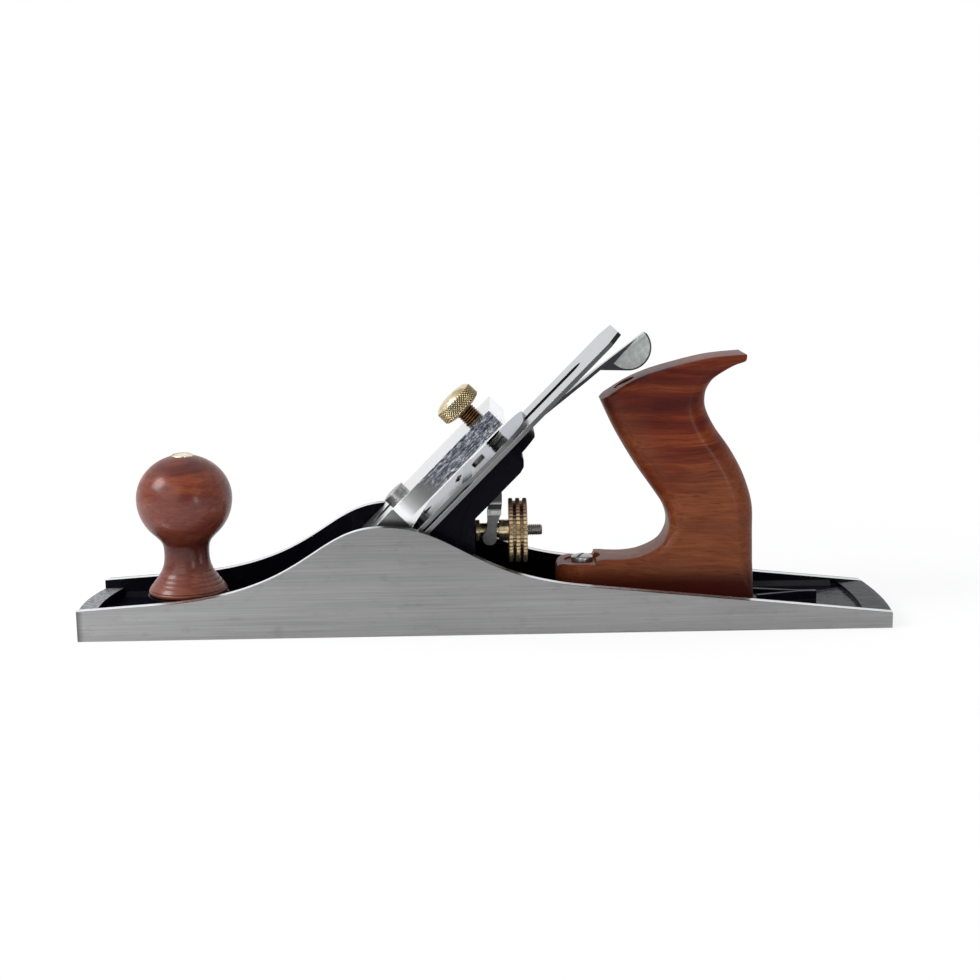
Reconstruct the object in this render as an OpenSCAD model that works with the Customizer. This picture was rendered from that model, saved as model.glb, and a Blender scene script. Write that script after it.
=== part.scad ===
// Metal bench plane of fore-plane pattern: a cast body with arched cheeks, a 45 degree frog,
// a double iron under a thumb-screw lever cap, a ball knob and a tall open tote.
// Frame: +X from toe to heel, +Y across the body, +Z up, origin under the body's centre on the sole.
// Positions on the bed are given as u, up the bed from the mouth, and v, square off the bed.

/* [Body casting] */
// Length between the corners of toe and heel
body_l = 381; // [370:1:400]
// Width of the body over the cheeks
body_w = 73; // [72:0.5:78]
// Thickness of the sole under the trays
floor_t = 5.5; // [4.5:0.1:6]
// Thickness of each cheek
cheek_t = 5.5; // [4:0.1:5.5]
// Height of the cheeks at the toe
toe_h = 14.2; // [12:0.1:18]
// Height of the cheeks at the heel
heel_h = 7.2; // [6.5:0.1:10]
// Height of the cheeks at the hump
hump_h = 51.7; // [46:0.1:56]
// Place of the hump along the body
hump_x = -45.25; // [-51:0.5:-39]
// Rise of the toe's arc beyond its corners
toe_bow = 5; // [3:0.5:7]
// Rise of the heel's arc beyond its corners
heel_bow = 2.5; // [2:0.5:6]
// Width of the ground rim at the toe
toe_rim_w = 9; // [7:0.5:12]
// Height of the ground rim at the toe
toe_rim_h = 9.9; // [8:0.1:11.5]
// Width of the ground rim at the heel
heel_rim_w = 13; // [9:0.5:15]
// Place where the bed meets the sole
mouth_x = -71.55; // [-74:0.05:-69]
// Gap of the mouth in front of the cutting edge
mouth_gap = 2.8; // [2.4:0.1:5]
// Height of the seat for the frog
seat_z = 14; // [13:0.1:16]

/* [Frog] */
// Angle of the bed to the sole
bed_angle = 45; // [44:0.5:46]
// Width of the frog
frog_w = 54; // [50:0.5:58]
// Length of the bed from the mouth to the frog's top
bed_l = 134; // [130:0.5:140]
// Depth of the frog's side walls below the bed
frog_depth = 11; // [9.5:0.1:13]
// Place of the frog's rear wall along the body
frog_rear_x = -2.75; // [-5:0.1:-2]
// Slide of the frog towards the toe from rest
frog_forward = 1.5; // [0.5:0.1:1.6]
// Slide of the frog towards the heel from rest
frog_back = 0.3; // [0.1:0.1:0.4]

/* [Irons] */
// Width of the cutting iron and the cap iron
iron_w = 60; // [50:0.5:60]
// Place of the cutting iron's upper end on the bed
iron_top_u = 195; // [185:0.5:200]
// Thickness of the cutting iron
iron_t = 2.1; // [2:0.1:3]
// Grinding angle of the cutting edge
grind_angle = 25; // [22:1:30]
// Height of the cutting edge above the sole at rest
edge_lift = 0.25; // [0.1:0.05:0.5]
// Width of the slot in the cutting iron
iron_slot_w = 12; // [11.5:0.1:14]
// Place of the upper end of the slot on the bed
iron_slot_top_u = 172; // [160:0.5:176]
// Thickness of the cap iron
cap_iron_t = 2; // [1.5:0.1:2.5]
// Gap between the two irons along their middle
cap_iron_gap = 0.95; // [0.3:0.05:1.2]
// Place of the cap iron's upper end on the bed
cap_iron_top_u = 134.8; // [130:0.1:140]
// Rise of the hump near the cap iron's lip
cap_hump = 3; // [2:0.1:3.2]

/* [Lever cap] */
// Width of the lever cap
lever_cap_w = 54; // [48:0.5:56]
// Thickness of the lever cap
lever_cap_t = 9.7; // [8:0.1:11]
// Place of the lever cap's upper end on the bed
lever_cap_top_u = 128.5; // [127:0.5:132]
// Height of the gap between the cap iron and the lever cap
lever_cap_gap = 5.2; // [4:0.1:6]
// Place of the lever cap screw on the bed
cap_screw_u = 65; // [62:0.5:66]
// Slide of the lever cap up to the keyhole's round end
lever_cap_slide = 10; // [9:0.5:11]
// Diameter of the lever cap screw's head
cap_screw_head_d = 11.6; // [10:0.1:12.5]
// Place of the thumb screw on the bed
thumb_u = 117.3; // [115:0.1:118]
// Diameter of the thumb screw's head
thumb_d = 21.4; // [18:0.1:24]
// Thickness of the knurled rim of the thumb screw
thumb_rim_t = 6.4; // [5:0.1:8]
// Diameter of the thumb screw's thread
thumb_thread_d = 9.4; // [8:0.1:10]
// Length of thread that shows under the thumb screw's head
thumb_reach = 7.2; // [5:0.1:10]
// Number of ridges round the thumb screw
thumb_ridges = 48; // [36:1:60]

/* [Depth adjuster] */
// Height of the adjusting stud above the sole
stud_z = 42.6; // [42:0.1:43.2]
// Diameter of the adjusting stud
stud_d = 5.5; // [5:0.1:6]
// Place of the stud's rounded end along the body
stud_end_x = 29.55; // [28:0.1:32]
// Diameter of the adjusting nut's wheel
nut_d = 31; // [26:0.5:32]
// Width of the adjusting nut's wheel
nut_wheel_w = 9; // [8:0.1:10]
// Diameter of the adjusting nut's hub and flange
nut_hub_d = 10.4; // [10:0.1:11.5]
// Diameter of the groove that takes the yoke's legs
nut_groove_d = 7.2; // [6.8:0.1:7.6]
// Travel of the adjusting nut each way from rest
nut_travel = 3; // [1:0.5:3]
// Number of ridges round each ring of the wheel
nut_ridges = 48; // [36:1:60]
// Diameter of the yoke's pin
yoke_pin_d = 3.2; // [2.5:0.1:3.4]
// Diameter of the round ends of the yoke's legs
yoke_leg_end_d = 7; // [6.5:0.1:7.4]
// Drop of the legs' round ends below the stud's axis
yoke_leg_drop = 2.7; // [2:0.1:4]

/* [Lateral lever] */
// Place of the lateral lever's pivot on the bed
lateral_u = 127; // [126.5:0.1:128]
// Distance from the pivot down to the roller
roller_arm = 11.5; // [11:0.1:12]
// Diameter of the roller in the iron's slot
roller_d = 9; // [8:0.1:9.5]
// Width of the lateral lever's strip
lateral_w = 9; // [8:0.1:10]
// Thickness of the lateral lever's strip
lateral_t = 1.6; // [1.2:0.1:1.8]
// Radius of the finger pad
pad_r = 10.9; // [9:0.1:12]
// Swing of the lateral lever each way
lateral_swing = 7; // [3:0.5:7]

/* [Knob] */
// Distance of the knob's axis from the corners of the toe
knob_inset = 46.3; // [42:0.1:50]
// Diameter of the knob's ball
ball_d = 45.8; // [40:0.1:48]
// Height of the ball's centre above the sole
ball_z = 61; // [58:0.1:64]
// Diameter of the knob's neck
neck_d = 21.6; // [18:0.1:24]
// Diameter of the knob's foot
knob_foot_d = 38; // [34:0.1:42]
// Height of the boss that carries the knob
knob_seat_z = 14.4; // [11:0.1:15]
// Diameter of the brass nut on the knob
knob_nut_d = 10.7; // [9.5:0.1:12]

/* [Tote] */
// Distance of the tote's rear from the corners of the heel
tote_inset = 59.8; // [58.5:0.1:61]
// Length of the tote's foot
tote_l = 96; // [93:0.5:100]
// Height of the tote from its seat to the horn
tote_h = 118.5; // [112:0.5:124]
// Thickness of the tote
tote_t = 28; // [25:0.5:31]
// Height of the pad that carries the tote
tote_seat_z = 8.5; // [7:0.1:10]
// Diameter of the tote's nut
tote_nut_d = 10; // [9:0.1:11]
// Diameter of the toe screw's head
toe_screw_d = 11.2; // [9.5:0.1:12]

/* [Screws and rods] */
// Diameter of the threaded rods through knob and tote
rod_d = 5.5; // [4.8:0.1:5.8]
// Diameter of the frog screws
frog_screw_d = 5.4; // [5:0.1:6]
// Width of a screwdriver slot
slot_w = 1.4; // [1:0.1:1.8]

/* [Hidden] */

$fn = 64;
// Clearance between flat faces that slide on each other
slip = 0.05;
// Radial clearance of a shaft or a thread in its hole
fit = 0.05;
// Overshoot of a cut beyond the face that it opens
over = 1;
// Length of a cut that passes through a whole piece
through = hump_h + over;

inner_w = body_w - 2 * cheek_t;
// Middle of the line between the corners: the two arcs rise unequally beyond them
mid_x = (toe_bow - heel_bow) / 2;
toe_x = mid_x - body_l / 2;
heel_x = mid_x + body_l / 2;
knob_x = toe_x + knob_inset;
tote_x = heel_x - tote_inset - tote_l;
tray_front_x = toe_x - toe_bow + toe_rim_w;
tray_rear_x = heel_x + heel_bow - heel_rim_w;
heel_rim_h = heel_h;
// Relief of the body's mouth wall behind the bed
mouth_relief = 0.8;
seat_rear_x = frog_rear_x - 8;
seat_land_w = frog_w - 4;
seat_base_z = seat_z - 3;

// A point of the bed, given by u and v, in the XZ plane of the body
function bed_pt(u, v) = [
    mouth_x + u * cos(bed_angle) - v * sin(bed_angle),
    u * sin(bed_angle) + v * cos(bed_angle)
];

// One cubic curve of n steps, first point left out
function bezier(a, b, c, d, n) = [
    for (i = [1:n]) let (t = i / n, s = 1 - t)
        s * s * s * a + 3 * s * s * t * b + 3 * s * t * t * c + t * t * t * d
];

module side_extrude(w) {
    rotate([90, 0, 0]) linear_extrude(w, center = true) children();
}
module on_bed() {
    translate([mouth_x, 0, 0]) rotate([0, -bed_angle, 0]) children();
}
// Turns a revolved or extruded piece so that its own axis lies along +X
module along_x() {
    rotate([0, 90, 0]) children();
}

// Body casting: outline, cheeks and trays
toe_slope = 0.064;
heel_slope = 0.105;
toe_run = 38.5;
heel_run = 144.5;
toe_run_end = [toe_x + toe_run, toe_h + toe_slope * toe_run];
heel_run_end = [heel_x - heel_run, heel_h + heel_slope * heel_run];
hump_top = [hump_x, hump_h];
cheek_top = concat(
    [[toe_x - toe_bow - over, toe_h - toe_slope * (toe_bow + over)], toe_run_end],
    bezier(toe_run_end, toe_run_end + 71 * [1, toe_slope], hump_top - [34.5, 0], hump_top, 30),
    bezier(hump_top, hump_top + [33.3, 0], heel_run_end + 53.3 * [-1, heel_slope], heel_run_end, 28),
    [[heel_x + heel_bow + over, heel_h - heel_slope * (heel_bow + over)]]
);

module arc_end(bow, inset, w, side) {
    r = (pow(body_w / 2, 2) + pow(bow, 2)) / (2 * bow);
    c = mid_x + side * (body_l / 2 + bow - r);
    intersection() {
        union() {
            translate([c, 0]) circle(r = r - inset, $fn = 180);
            translate([c - side * body_l / 2, 0]) square([body_l, 2 * r], center = true);
        }
        square([3 * body_l, w], center = true);
    }
}
module plan(toe_in, side_in, heel_in) {
    intersection() {
        arc_end(toe_bow, toe_in, body_w - 2 * side_in, -1);
        arc_end(heel_bow, heel_in, body_w - 2 * side_in, 1);
    }
}
module cheek_mass() {
    intersection() {
        linear_extrude(hump_h + over) plan(0, 0, 0);
        side_extrude(body_w + over)
            polygon(concat(
                [[body_l, 0], [-body_l, 0], [-body_l, toe_h]], cheek_top, [[body_l, heel_h / 2]]
            ));
    }
}
module rim_cuts() {
    translate([toe_x - toe_bow - over, -inner_w / 2, toe_rim_h])
        cube([toe_rim_w + toe_bow + 2 * over, inner_w, toe_h]);
    translate([heel_x - heel_rim_w - over, -inner_w / 2, heel_rim_h])
        cube([heel_rim_w + heel_bow + 2 * over, inner_w, toe_h]);
}
fillet = 2.4;
mouth_cut_h = floor_t + fillet + over;
module floor_fillets() {
    tray_l = tray_rear_x - tray_front_x;
    for (side = [-1, 1])
        translate([tray_front_x + tray_l / 2, side * inner_w / 2, floor_t]) along_x()
            linear_extrude(tray_l - 2 * toe_bow, center = true)
                polygon([
                    [over, side], [over, -side * fillet], [0, -side * fillet], [-fillet, 0], [-fillet, side]
                ]);
}
// Front and rear walls of the mouth
mouth_rear = bed_pt(0, -mouth_relief);
edge_x = mouth_x - iron_t / sin(bed_angle);
mouth_front_x = edge_x - mouth_gap;
module mouth_cut() {
    side_extrude(iron_w + 2)
        polygon([
            [mouth_front_x, -over], [mouth_front_x - 2, mouth_cut_h],
            bed_pt(mouth_cut_h / sin(bed_angle) - mouth_relief / tan(bed_angle), -mouth_relief),
            mouth_rear - [over, over] / tan(bed_angle)
        ]);
}
module seat() {
    side_extrude(inner_w + over)
        polygon([
            [mouth_rear[0] + floor_t / 2 + mouth_rear[1], floor_t / 2],
            [seat_base_z / tan(bed_angle) + mouth_x + mouth_relief / sin(bed_angle), seat_base_z],
            [seat_rear_x, seat_base_z], [seat_rear_x, floor_t / 2]
        ]);
    side_extrude(seat_land_w)
        polygon([
            [floor_t / tan(bed_angle) + mouth_x + mouth_relief / sin(bed_angle), floor_t],
            [seat_z / tan(bed_angle) + mouth_x + mouth_relief / sin(bed_angle), seat_z],
            [seat_rear_x, seat_z], [seat_rear_x, floor_t]
        ]);
}
knob_boss_d = knob_foot_d + 1;
tote_pad_w = tote_t + 2;
y_rib_z = 11;
module bosses() {
    translate([knob_x, 0, 0]) cylinder(h = knob_seat_z, d = knob_boss_d);
    translate([tote_x - 2, -tote_pad_w / 2, 0]) cube([tote_l + 4, tote_pad_w, tote_seat_z]);
    // Forked rib behind the tote
    rib_root = tote_x + tote_l + 1;
    rib_fork = rib_root + 22;
    rib_end = rib_fork + 8;
    translate([rib_fork, -1.5, 0]) cube([rib_end - rib_fork, 3, y_rib_z - 1]);
    translate([rib_fork, 0, 0]) cylinder(h = y_rib_z - 1, d = 3);
    for (side = [-1, 1])
        linear_extrude(y_rib_z - 1)
            polygon([[rib_root, side * 8.5], [rib_root, side * 5.5], [rib_fork, 0], [rib_fork, side * 1.5]]);
}
module plane_body() {
    color([0.58, 0.58, 0.6])
        difference() {
            union() {
                difference() {
                    cheek_mass();
                    translate([0, 0, floor_t]) linear_extrude(hump_h) plan(toe_rim_w, cheek_t, heel_rim_w);
                    rim_cuts();
                }
                intersection() {
                    floor_fillets();
                    cheek_mass();
                }
                seat();
                bosses();
            }
            mouth_cut();
            for (side = [-1, 1])
                translate([frog_screw_x, side * frog_screw_y, 3])
                    cylinder(h = seat_z, d = frog_screw_d + 2 * fit);
            translate([seat_rear_x - adjust_screw_l, 0, adjust_screw_z]) along_x()
                cylinder(h = adjust_screw_l + over, d = adjust_screw_d + 2 * fit);
            translate([knob_x, 0, rod_foot_z]) cylinder(h = knob_seat_z, d = rod_d + 2 * fit);
            along_tote_rod() translate([0, 0, -tote_rod_depth]) cylinder(h = through, d = rod_d + 2 * fit);
            translate([toe_screw_x, 0, rod_foot_z]) cylinder(h = through, d = toe_shank_d + 2 * fit);
        }
}

// Frog: bed, walls, pockets and holes
frog_foot_z = seat_z + slip;
bed_plate_t = 5;
frog_recess_x = frog_rear_x - 3.5;
frog_ledge_z = seat_z + 8;
// The screws stand where the bed plate is high enough over their heads
frog_screw_x = mouth_x + frog_ledge_z / tan(bed_angle) + 10.8;
frog_screw_y = frog_w / 2 - 12;
washer_d = 12;
washer_t = 1.2;
frog_screw_head_d = 9.5;
rib_half_w = 13;
yoke_room_half_w = 9;
recess_half_w = 8;
frog_side_wall = 4;
frog_nose_u = bed_l - 11;
function under_bed(x, v) = ((x - mouth_x) * sin(bed_angle) + v) / cos(bed_angle);

module frog_profile() {
    polygon([
        [frog_foot_z / tan(bed_angle) + mouth_x, frog_foot_z],
        [frog_rear_x, frog_foot_z],
        [frog_rear_x, under_bed(frog_rear_x, -frog_depth)],
        bed_pt(frog_nose_u - 6, -frog_depth),
        bed_pt(frog_nose_u - 3, -frog_depth + 0.8),
        bed_pt(frog_nose_u - 0.8, -frog_depth + 3),
        bed_pt(frog_nose_u, -bed_plate_t - 1),
        bed_pt(frog_nose_u + 1, -bed_plate_t),
        bed_pt(bed_l - 1, -bed_plate_t),
        bed_pt(bed_l, -bed_plate_t + 1),
        bed_pt(bed_l, 0)
    ]);
}
frog_corner_r = 14;
module frog_plan() {
    w = frog_w;
    translate([bed_l / 2 - frog_corner_r, 0]) square([bed_l, w], center = true);
    translate([0, -w / 2 + frog_corner_r]) square([bed_l, w - 2 * frog_corner_r]);
    for (side = [-1, 1])
        translate([bed_l - frog_corner_r, side * (w / 2 - frog_corner_r)]) circle(r = frog_corner_r);
}
// Pockets between the middle ribs and the side walls, open to the rear
module frog_side_pockets() {
    pocket_w = frog_w / 2 - frog_side_wall - rib_half_w;
    front_x = frog_screw_x + washer_d / 2 + 4;
    top_u = frog_nose_u - 6;
    for (side = [-1, 1])
        translate([0, side * (rib_half_w + pocket_w / 2), 0])
            side_extrude(pocket_w)
                polygon([
                    [front_x, frog_foot_z + 5],
                    [bed_l / 2, frog_foot_z + 5],
                    bed_pt(top_u, -bed_l / 2),
                    bed_pt(top_u, -bed_plate_t),
                    [front_x, under_bed(front_x, -bed_plate_t)]
                ]);
}
dog_u = 91.5;
iron_screw_u = 104.3;
iron_screw_head_d = 11;
bed_slot_w = iron_screw_head_d + 2.2;
bed_slot_low_u = dog_u - 5;
bed_slot_top_u = iron_screw_u + iron_screw_head_d / 2 + 2.4;
// Room for the yoke, open below and to the rear
module frog_yoke_room() {
    low_u = bed_slot_low_u - 3;
    on_bed() {
        translate([low_u, -yoke_room_half_w, -through])
            cube([bed_slot_top_u - low_u, 2 * yoke_room_half_w, through - bed_plate_t]);
        translate([bed_slot_low_u, -bed_slot_w / 2, -bed_plate_t - over])
            cube([bed_slot_top_u - bed_slot_low_u, bed_slot_w, bed_plate_t + 2 * over]);
    }
    translate([frog_recess_x, -recess_half_w, 0]) cube([through, 2 * recess_half_w, stud_z + 10]);
}
lateral_recess = lateral_t + 0.5;
module frog_lateral_recess() {
    on_bed() {
        translate([lateral_u - roller_arm - 6, -lateral_w / 2 - 2.3, -lateral_recess])
            cube([bed_l, lateral_w + 4.6, lateral_recess + over]);
        translate([lateral_u, 0, -bed_plate_t - over])
            cylinder(h = bed_plate_t + 2 * over, d = lateral_pin_d + 2 * fit);
    }
}
module frog_screw_holes() {
    for (side = [-1, 1]) {
        // Slots let the frog slide under the clamped washers
        for (x = [frog_screw_x - frog_back, frog_screw_x + frog_forward])
            translate([x, side * frog_screw_y, 0]) {
                cylinder(h = through, d = frog_screw_d + 0.8);
                translate([0, 0, frog_ledge_z]) cylinder(h = through, d = washer_d + 0.8);
            }
        translate([frog_screw_x - frog_back, side * frog_screw_y - (frog_screw_d + 0.8) / 2, 0])
            cube([frog_forward + frog_back, frog_screw_d + 0.8, through]);
    }
}
module frog() {
    color([0.1, 0.1, 0.12])
        difference() {
            intersection() {
                side_extrude(frog_w) frog_profile();
                on_bed() translate([0, 0, -bed_l]) linear_extrude(bed_l + over) frog_plan();
            }
            frog_side_pockets();
            frog_yoke_room();
            frog_lateral_recess();
            frog_screw_holes();
            on_bed() translate([cap_screw_u, 0, -cap_screw_depth])
                cylinder(h = cap_screw_depth + over, d = cap_screw_d + 2 * fit);
            translate([stud_front_x, 0, stud_z]) along_x()
                cylinder(h = through, d = stud_d + 2 * fit);
            translate(yoke_pivot) rotate([90, 0, 0])
                cylinder(h = 2 * rib_half_w + 2 * over, d = yoke_pin_d + 2 * fit, center = true);
            translate([frog_recess_x - plate_screw_l, 0, plate_screw_z]) along_x()
                cylinder(h = through, d = plate_screw_d + 2 * fit);
        }
}

// Head of a screw with a driver slot: flat rim and low dome, seated at z = 0
module slotted_head(d, h, domed = 0.45) {
    crown = h * domed;
    r = (pow(d / 2, 2) + pow(crown, 2)) / (2 * crown);
    difference() {
        intersection() {
            cylinder(h = h, d = d);
            translate([0, 0, h - r]) sphere(r = r, $fn = 96);
        }
        translate([-d, -slot_w / 2, h * 0.5]) cube([2 * d, slot_w, h]);
    }
}
module frog_screws() {
    color([0.45, 0.45, 0.47])
        for (side = [-1, 1])
            translate([frog_screw_x, side * frog_screw_y, 0]) {
                translate([0, 0, rod_foot_z + over])
                    cylinder(h = frog_ledge_z + slip + washer_t - rod_foot_z, d = frog_screw_d);
                translate([0, 0, frog_ledge_z + slip + washer_t]) slotted_head(frog_screw_head_d, 3.8);
            }
}
module frog_washers() {
    color([0.6, 0.6, 0.62])
        for (side = [-1, 1])
            translate([frog_screw_x, side * frog_screw_y, frog_ledge_z + slip])
                difference() {
                    cylinder(h = washer_t, d = washer_d);
                    translate([0, 0, -over]) cylinder(h = washer_t + 2 * over, d = frog_screw_d + 2 * fit);
                }
}

// Frog adjusting screw: its collars hold the plate on the frog's rear wall
adjust_screw_z = 10.6;
adjust_screw_d = 5;
adjust_screw_l = 14;
adjust_collar_d = 9;
// The collar in front of the plate stays below the frog's foot
adjust_inner_collar_d = 6.6;
adjust_plate_t = 1.8;
plate_screw_z = 26;
plate_screw_d = 4;
plate_screw_l = 7;
plate_x = frog_recess_x;
collar_t = 2;
module frog_adjusting_screw() {
    groove_w = adjust_plate_t + 0.3;
    color([0.45, 0.45, 0.47])
        translate([plate_x - 0.15, 0, adjust_screw_z]) along_x() {
            translate([0, 0, -adjust_screw_l])
                cylinder(h = adjust_screw_l + groove_w + 1, d = adjust_screw_d);
            translate([0, 0, -collar_t]) cylinder(h = collar_t, d = adjust_inner_collar_d);
            translate([0, 0, groove_w]) slotted_head(adjust_collar_d, 5);
        }
}
module frog_adjusting_plate() {
    w = 11;
    fork = adjust_screw_d + 0.4;
    color([0.5, 0.5, 0.52])
        translate([plate_x, 0, 0])
            difference() {
                union() {
                    translate([0, -w / 2, adjust_screw_z - 3])
                        cube([adjust_plate_t, w, plate_screw_z - adjust_screw_z + 3]);
                    translate([0, 0, plate_screw_z]) along_x() cylinder(h = adjust_plate_t, d = w);
                }
                translate([-over, -fork / 2, 0]) cube([adjust_plate_t + 2 * over, fork, adjust_screw_z]);
                translate([-over, 0, adjust_screw_z]) along_x()
                    cylinder(h = adjust_plate_t + 2 * over, d = fork);
                translate([-over, 0, plate_screw_z]) along_x()
                    cylinder(h = adjust_plate_t + 2 * over, d = plate_screw_d + 2 * fit);
            }
}
module frog_plate_screw() {
    color([0.45, 0.45, 0.47])
        translate([plate_x + adjust_plate_t, 0, plate_screw_z]) along_x() {
            translate([0, 0, -adjust_plate_t - plate_screw_l + 1])
                cylinder(h = adjust_plate_t + plate_screw_l, d = plate_screw_d);
            slotted_head(7, 2.4);
        }
}

// Cutting iron and cap iron, drawn on the bed
iron_v = slip;
iron_top_v = iron_v + iron_t;
edge_u = edge_lift / sin(bed_angle) - iron_top_v / tan(bed_angle);
clip = 7;
iron_eye_d = 20;
iron_eye_u = 52;
module cutting_iron() {
    bevel_u = edge_u + iron_t / tan(grind_angle);
    color([0.8, 0.8, 0.81])
        on_bed() difference() {
            intersection() {
                side_extrude(iron_w) polygon([
                    [edge_u, iron_top_v], [bevel_u, iron_v], [iron_top_u, iron_v], [iron_top_u, iron_top_v]
                ]);
                linear_extrude(20, center = true) polygon([
                    [edge_u - over, -iron_w / 2], [iron_top_u - clip, -iron_w / 2],
                    [iron_top_u, -iron_w / 2 + clip], [iron_top_u, iron_w / 2 - clip],
                    [iron_top_u - clip, iron_w / 2], [edge_u - over, iron_w / 2]
                ]);
            }
            translate([iron_eye_u, -iron_slot_w / 2, -over])
                cube([iron_slot_top_u - iron_slot_w / 2 - iron_eye_u, iron_slot_w, iron_t + 2 * over]);
            translate([iron_slot_top_u - iron_slot_w / 2, 0, -over])
                cylinder(h = iron_t + 2 * over, d = iron_slot_w);
            translate([iron_eye_u, 0, -over]) cylinder(h = iron_t + 2 * over, d = iron_eye_d);
        }
}
// The cap iron touches the cutting iron at its lip and where its screw clamps it
cap_iron_v = iron_top_v + cap_iron_gap;
cap_iron_top_v = cap_iron_v + cap_iron_t;
clamp_v = iron_top_v + slip;
clamp_top_v = clamp_v + cap_iron_t;
clamp_u = iron_screw_u - 4;
lip_u = edge_u + 1.8;
hump_end_u = 24;
// Underside of the cap iron from the lip over the hump to the flat
function hump_v(u) = let (t = (u - lip_u) / (hump_end_u - lip_u))
    clamp_v + (cap_iron_v - clamp_v) * t + cap_hump * pow(max(0, sin(180 * t)), 1.3);
hump_top_v = hump_v((lip_u + hump_end_u) / 2) + cap_iron_t;
module cap_iron() {
    n = 24;
    span = hump_end_u - lip_u;
    top = [for (i = [0:n]) let (u = lip_u + span * i / n)
        [u, hump_v(u) + cap_iron_t * min(1, 0.15 + i / 6)]];
    under = [for (i = [n:-1:1]) let (u = lip_u + span * i / n) [u, hump_v(u)]];
    ramp_u = dog_u + dog_r + dog_play + 1;
    r = 14;
    color([0.78, 0.78, 0.79])
        on_bed() difference() {
            intersection() {
                side_extrude(iron_w) polygon(concat(
                    [[lip_u, clamp_v]], top,
                    [[ramp_u, cap_iron_top_v], [clamp_u, clamp_top_v], [cap_iron_top_u, clamp_top_v],
                     [cap_iron_top_u, clamp_v], [clamp_u, clamp_v], [ramp_u, cap_iron_v]],
                    under
                ));
                linear_extrude(40, center = true) union() {
                    translate([cap_iron_top_u - r - 100, 0]) square([200, iron_w], center = true);
                    translate([0, -iron_w / 2 + r]) square([cap_iron_top_u, iron_w - 2 * r]);
                    for (side = [-1, 1])
                        translate([cap_iron_top_u - r, side * (iron_w / 2 - r)]) circle(r = r);
                }
            }
            // Hole that the lever cap screw passes, long enough for the irons' feed
            for (du = [-2.5, 2.5])
                translate([cap_screw_u + du, 0, 0]) cylinder(h = 20, d = cap_screw_d + 4);
            translate([cap_screw_u - 2.5, -(cap_screw_d + 4) / 2, 0]) cube([5, cap_screw_d + 4, 20]);
            // Slot that the yoke's dog engages
            translate([dog_u - dog_r - dog_play, -dog_w / 2 - dog_play, 0])
                cube([2 * (dog_r + dog_play), dog_w + 2 * dog_play, through]);
            translate([iron_screw_u, 0, 0]) cylinder(h = 20, d = iron_screw_d + 2 * fit);
        }
}
iron_screw_d = 7.4;
module cap_iron_screw() {
    head_t = 2.6;
    color([0.5, 0.5, 0.52])
        on_bed() translate([iron_screw_u, 0, iron_v]) {
            translate([0, 0, -0.2]) cylinder(h = clamp_top_v - iron_v + 1.2, d = iron_screw_d);
            mirror([0, 0, 1]) slotted_head(iron_screw_head_d, head_t);
        }
}

// Lever cap with its keyhole, its lip and the boss under the thumb screw
lever_cap_v = cap_iron_top_v + lever_cap_gap;
lever_cap_top_v = lever_cap_v + lever_cap_t;
lever_lip_u = 8;
cap_screw_d = 6;
cap_screw_depth = 10;
keyhole_d = cap_screw_head_d + 1.2;
side_step_u = 63;
side_step = 1.2;
module lever_cap() {
    lip_v = hump_top_v + 0.1;
    heel_v = cap_iron_top_v + 1.1;
    pocket_u = side_step_u + 17;
    color([0.72, 0.72, 0.72])
        on_bed() difference() {
            side_extrude(lever_cap_w) polygon(concat(
                [[lever_lip_u, lip_v + 0.6], [lever_lip_u + 1, lip_v], [lever_lip_u + 7, lip_v],
                 [hump_end_u + 1, heel_v], [side_step_u - 6, heel_v], [side_step_u + 15, lever_cap_v],
                 [lever_cap_top_u, lever_cap_v], [lever_cap_top_u, lever_cap_top_v],
                 [side_step_u - 25, lever_cap_top_v]],
                bezier([side_step_u - 25, lever_cap_top_v], [side_step_u - 36, lever_cap_top_v],
                    [lever_lip_u + 8, lip_v + 5], [lever_lip_u, lip_v + 0.6], 12)
            ));
            // The lower end is ground narrower than the cast sides
            for (side = [-1, 1])
                translate([0, side * lever_cap_w / 2 - side_step, 0])
                    cube([side_step_u, 2 * side_step, through]);
            // Pocket of the underside
            translate([pocket_u, -lever_cap_w / 2 + 6, 0])
                cube([thumb_u - thumb_thread_d - pocket_u, lever_cap_w - 12, lever_cap_top_v - 4.5]);
            // Keyhole
            translate([cap_screw_u - lever_cap_slide, 0, 0]) cylinder(h = through, d = keyhole_d);
            translate([cap_screw_u, 0, 0]) cylinder(h = through, d = cap_screw_d + 1);
            translate([cap_screw_u - lever_cap_slide, -(cap_screw_d + 1) / 2, 0])
                cube([lever_cap_slide, cap_screw_d + 1, through]);
            translate([thumb_u, 0, 0]) cylinder(h = through, d = thumb_thread_d + 2 * fit);
        }
}
module lever_cap_screw() {
    color([0.75, 0.75, 0.76])
        on_bed() translate([cap_screw_u, 0, 0]) {
            translate([0, 0, -cap_screw_depth + 0.3])
                cylinder(h = cap_screw_depth + lever_cap_top_v + 0.5, d = cap_screw_d);
            translate([0, 0, lever_cap_top_v + slip]) slotted_head(cap_screw_head_d, 4.3, 0.2);
        }
}

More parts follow.
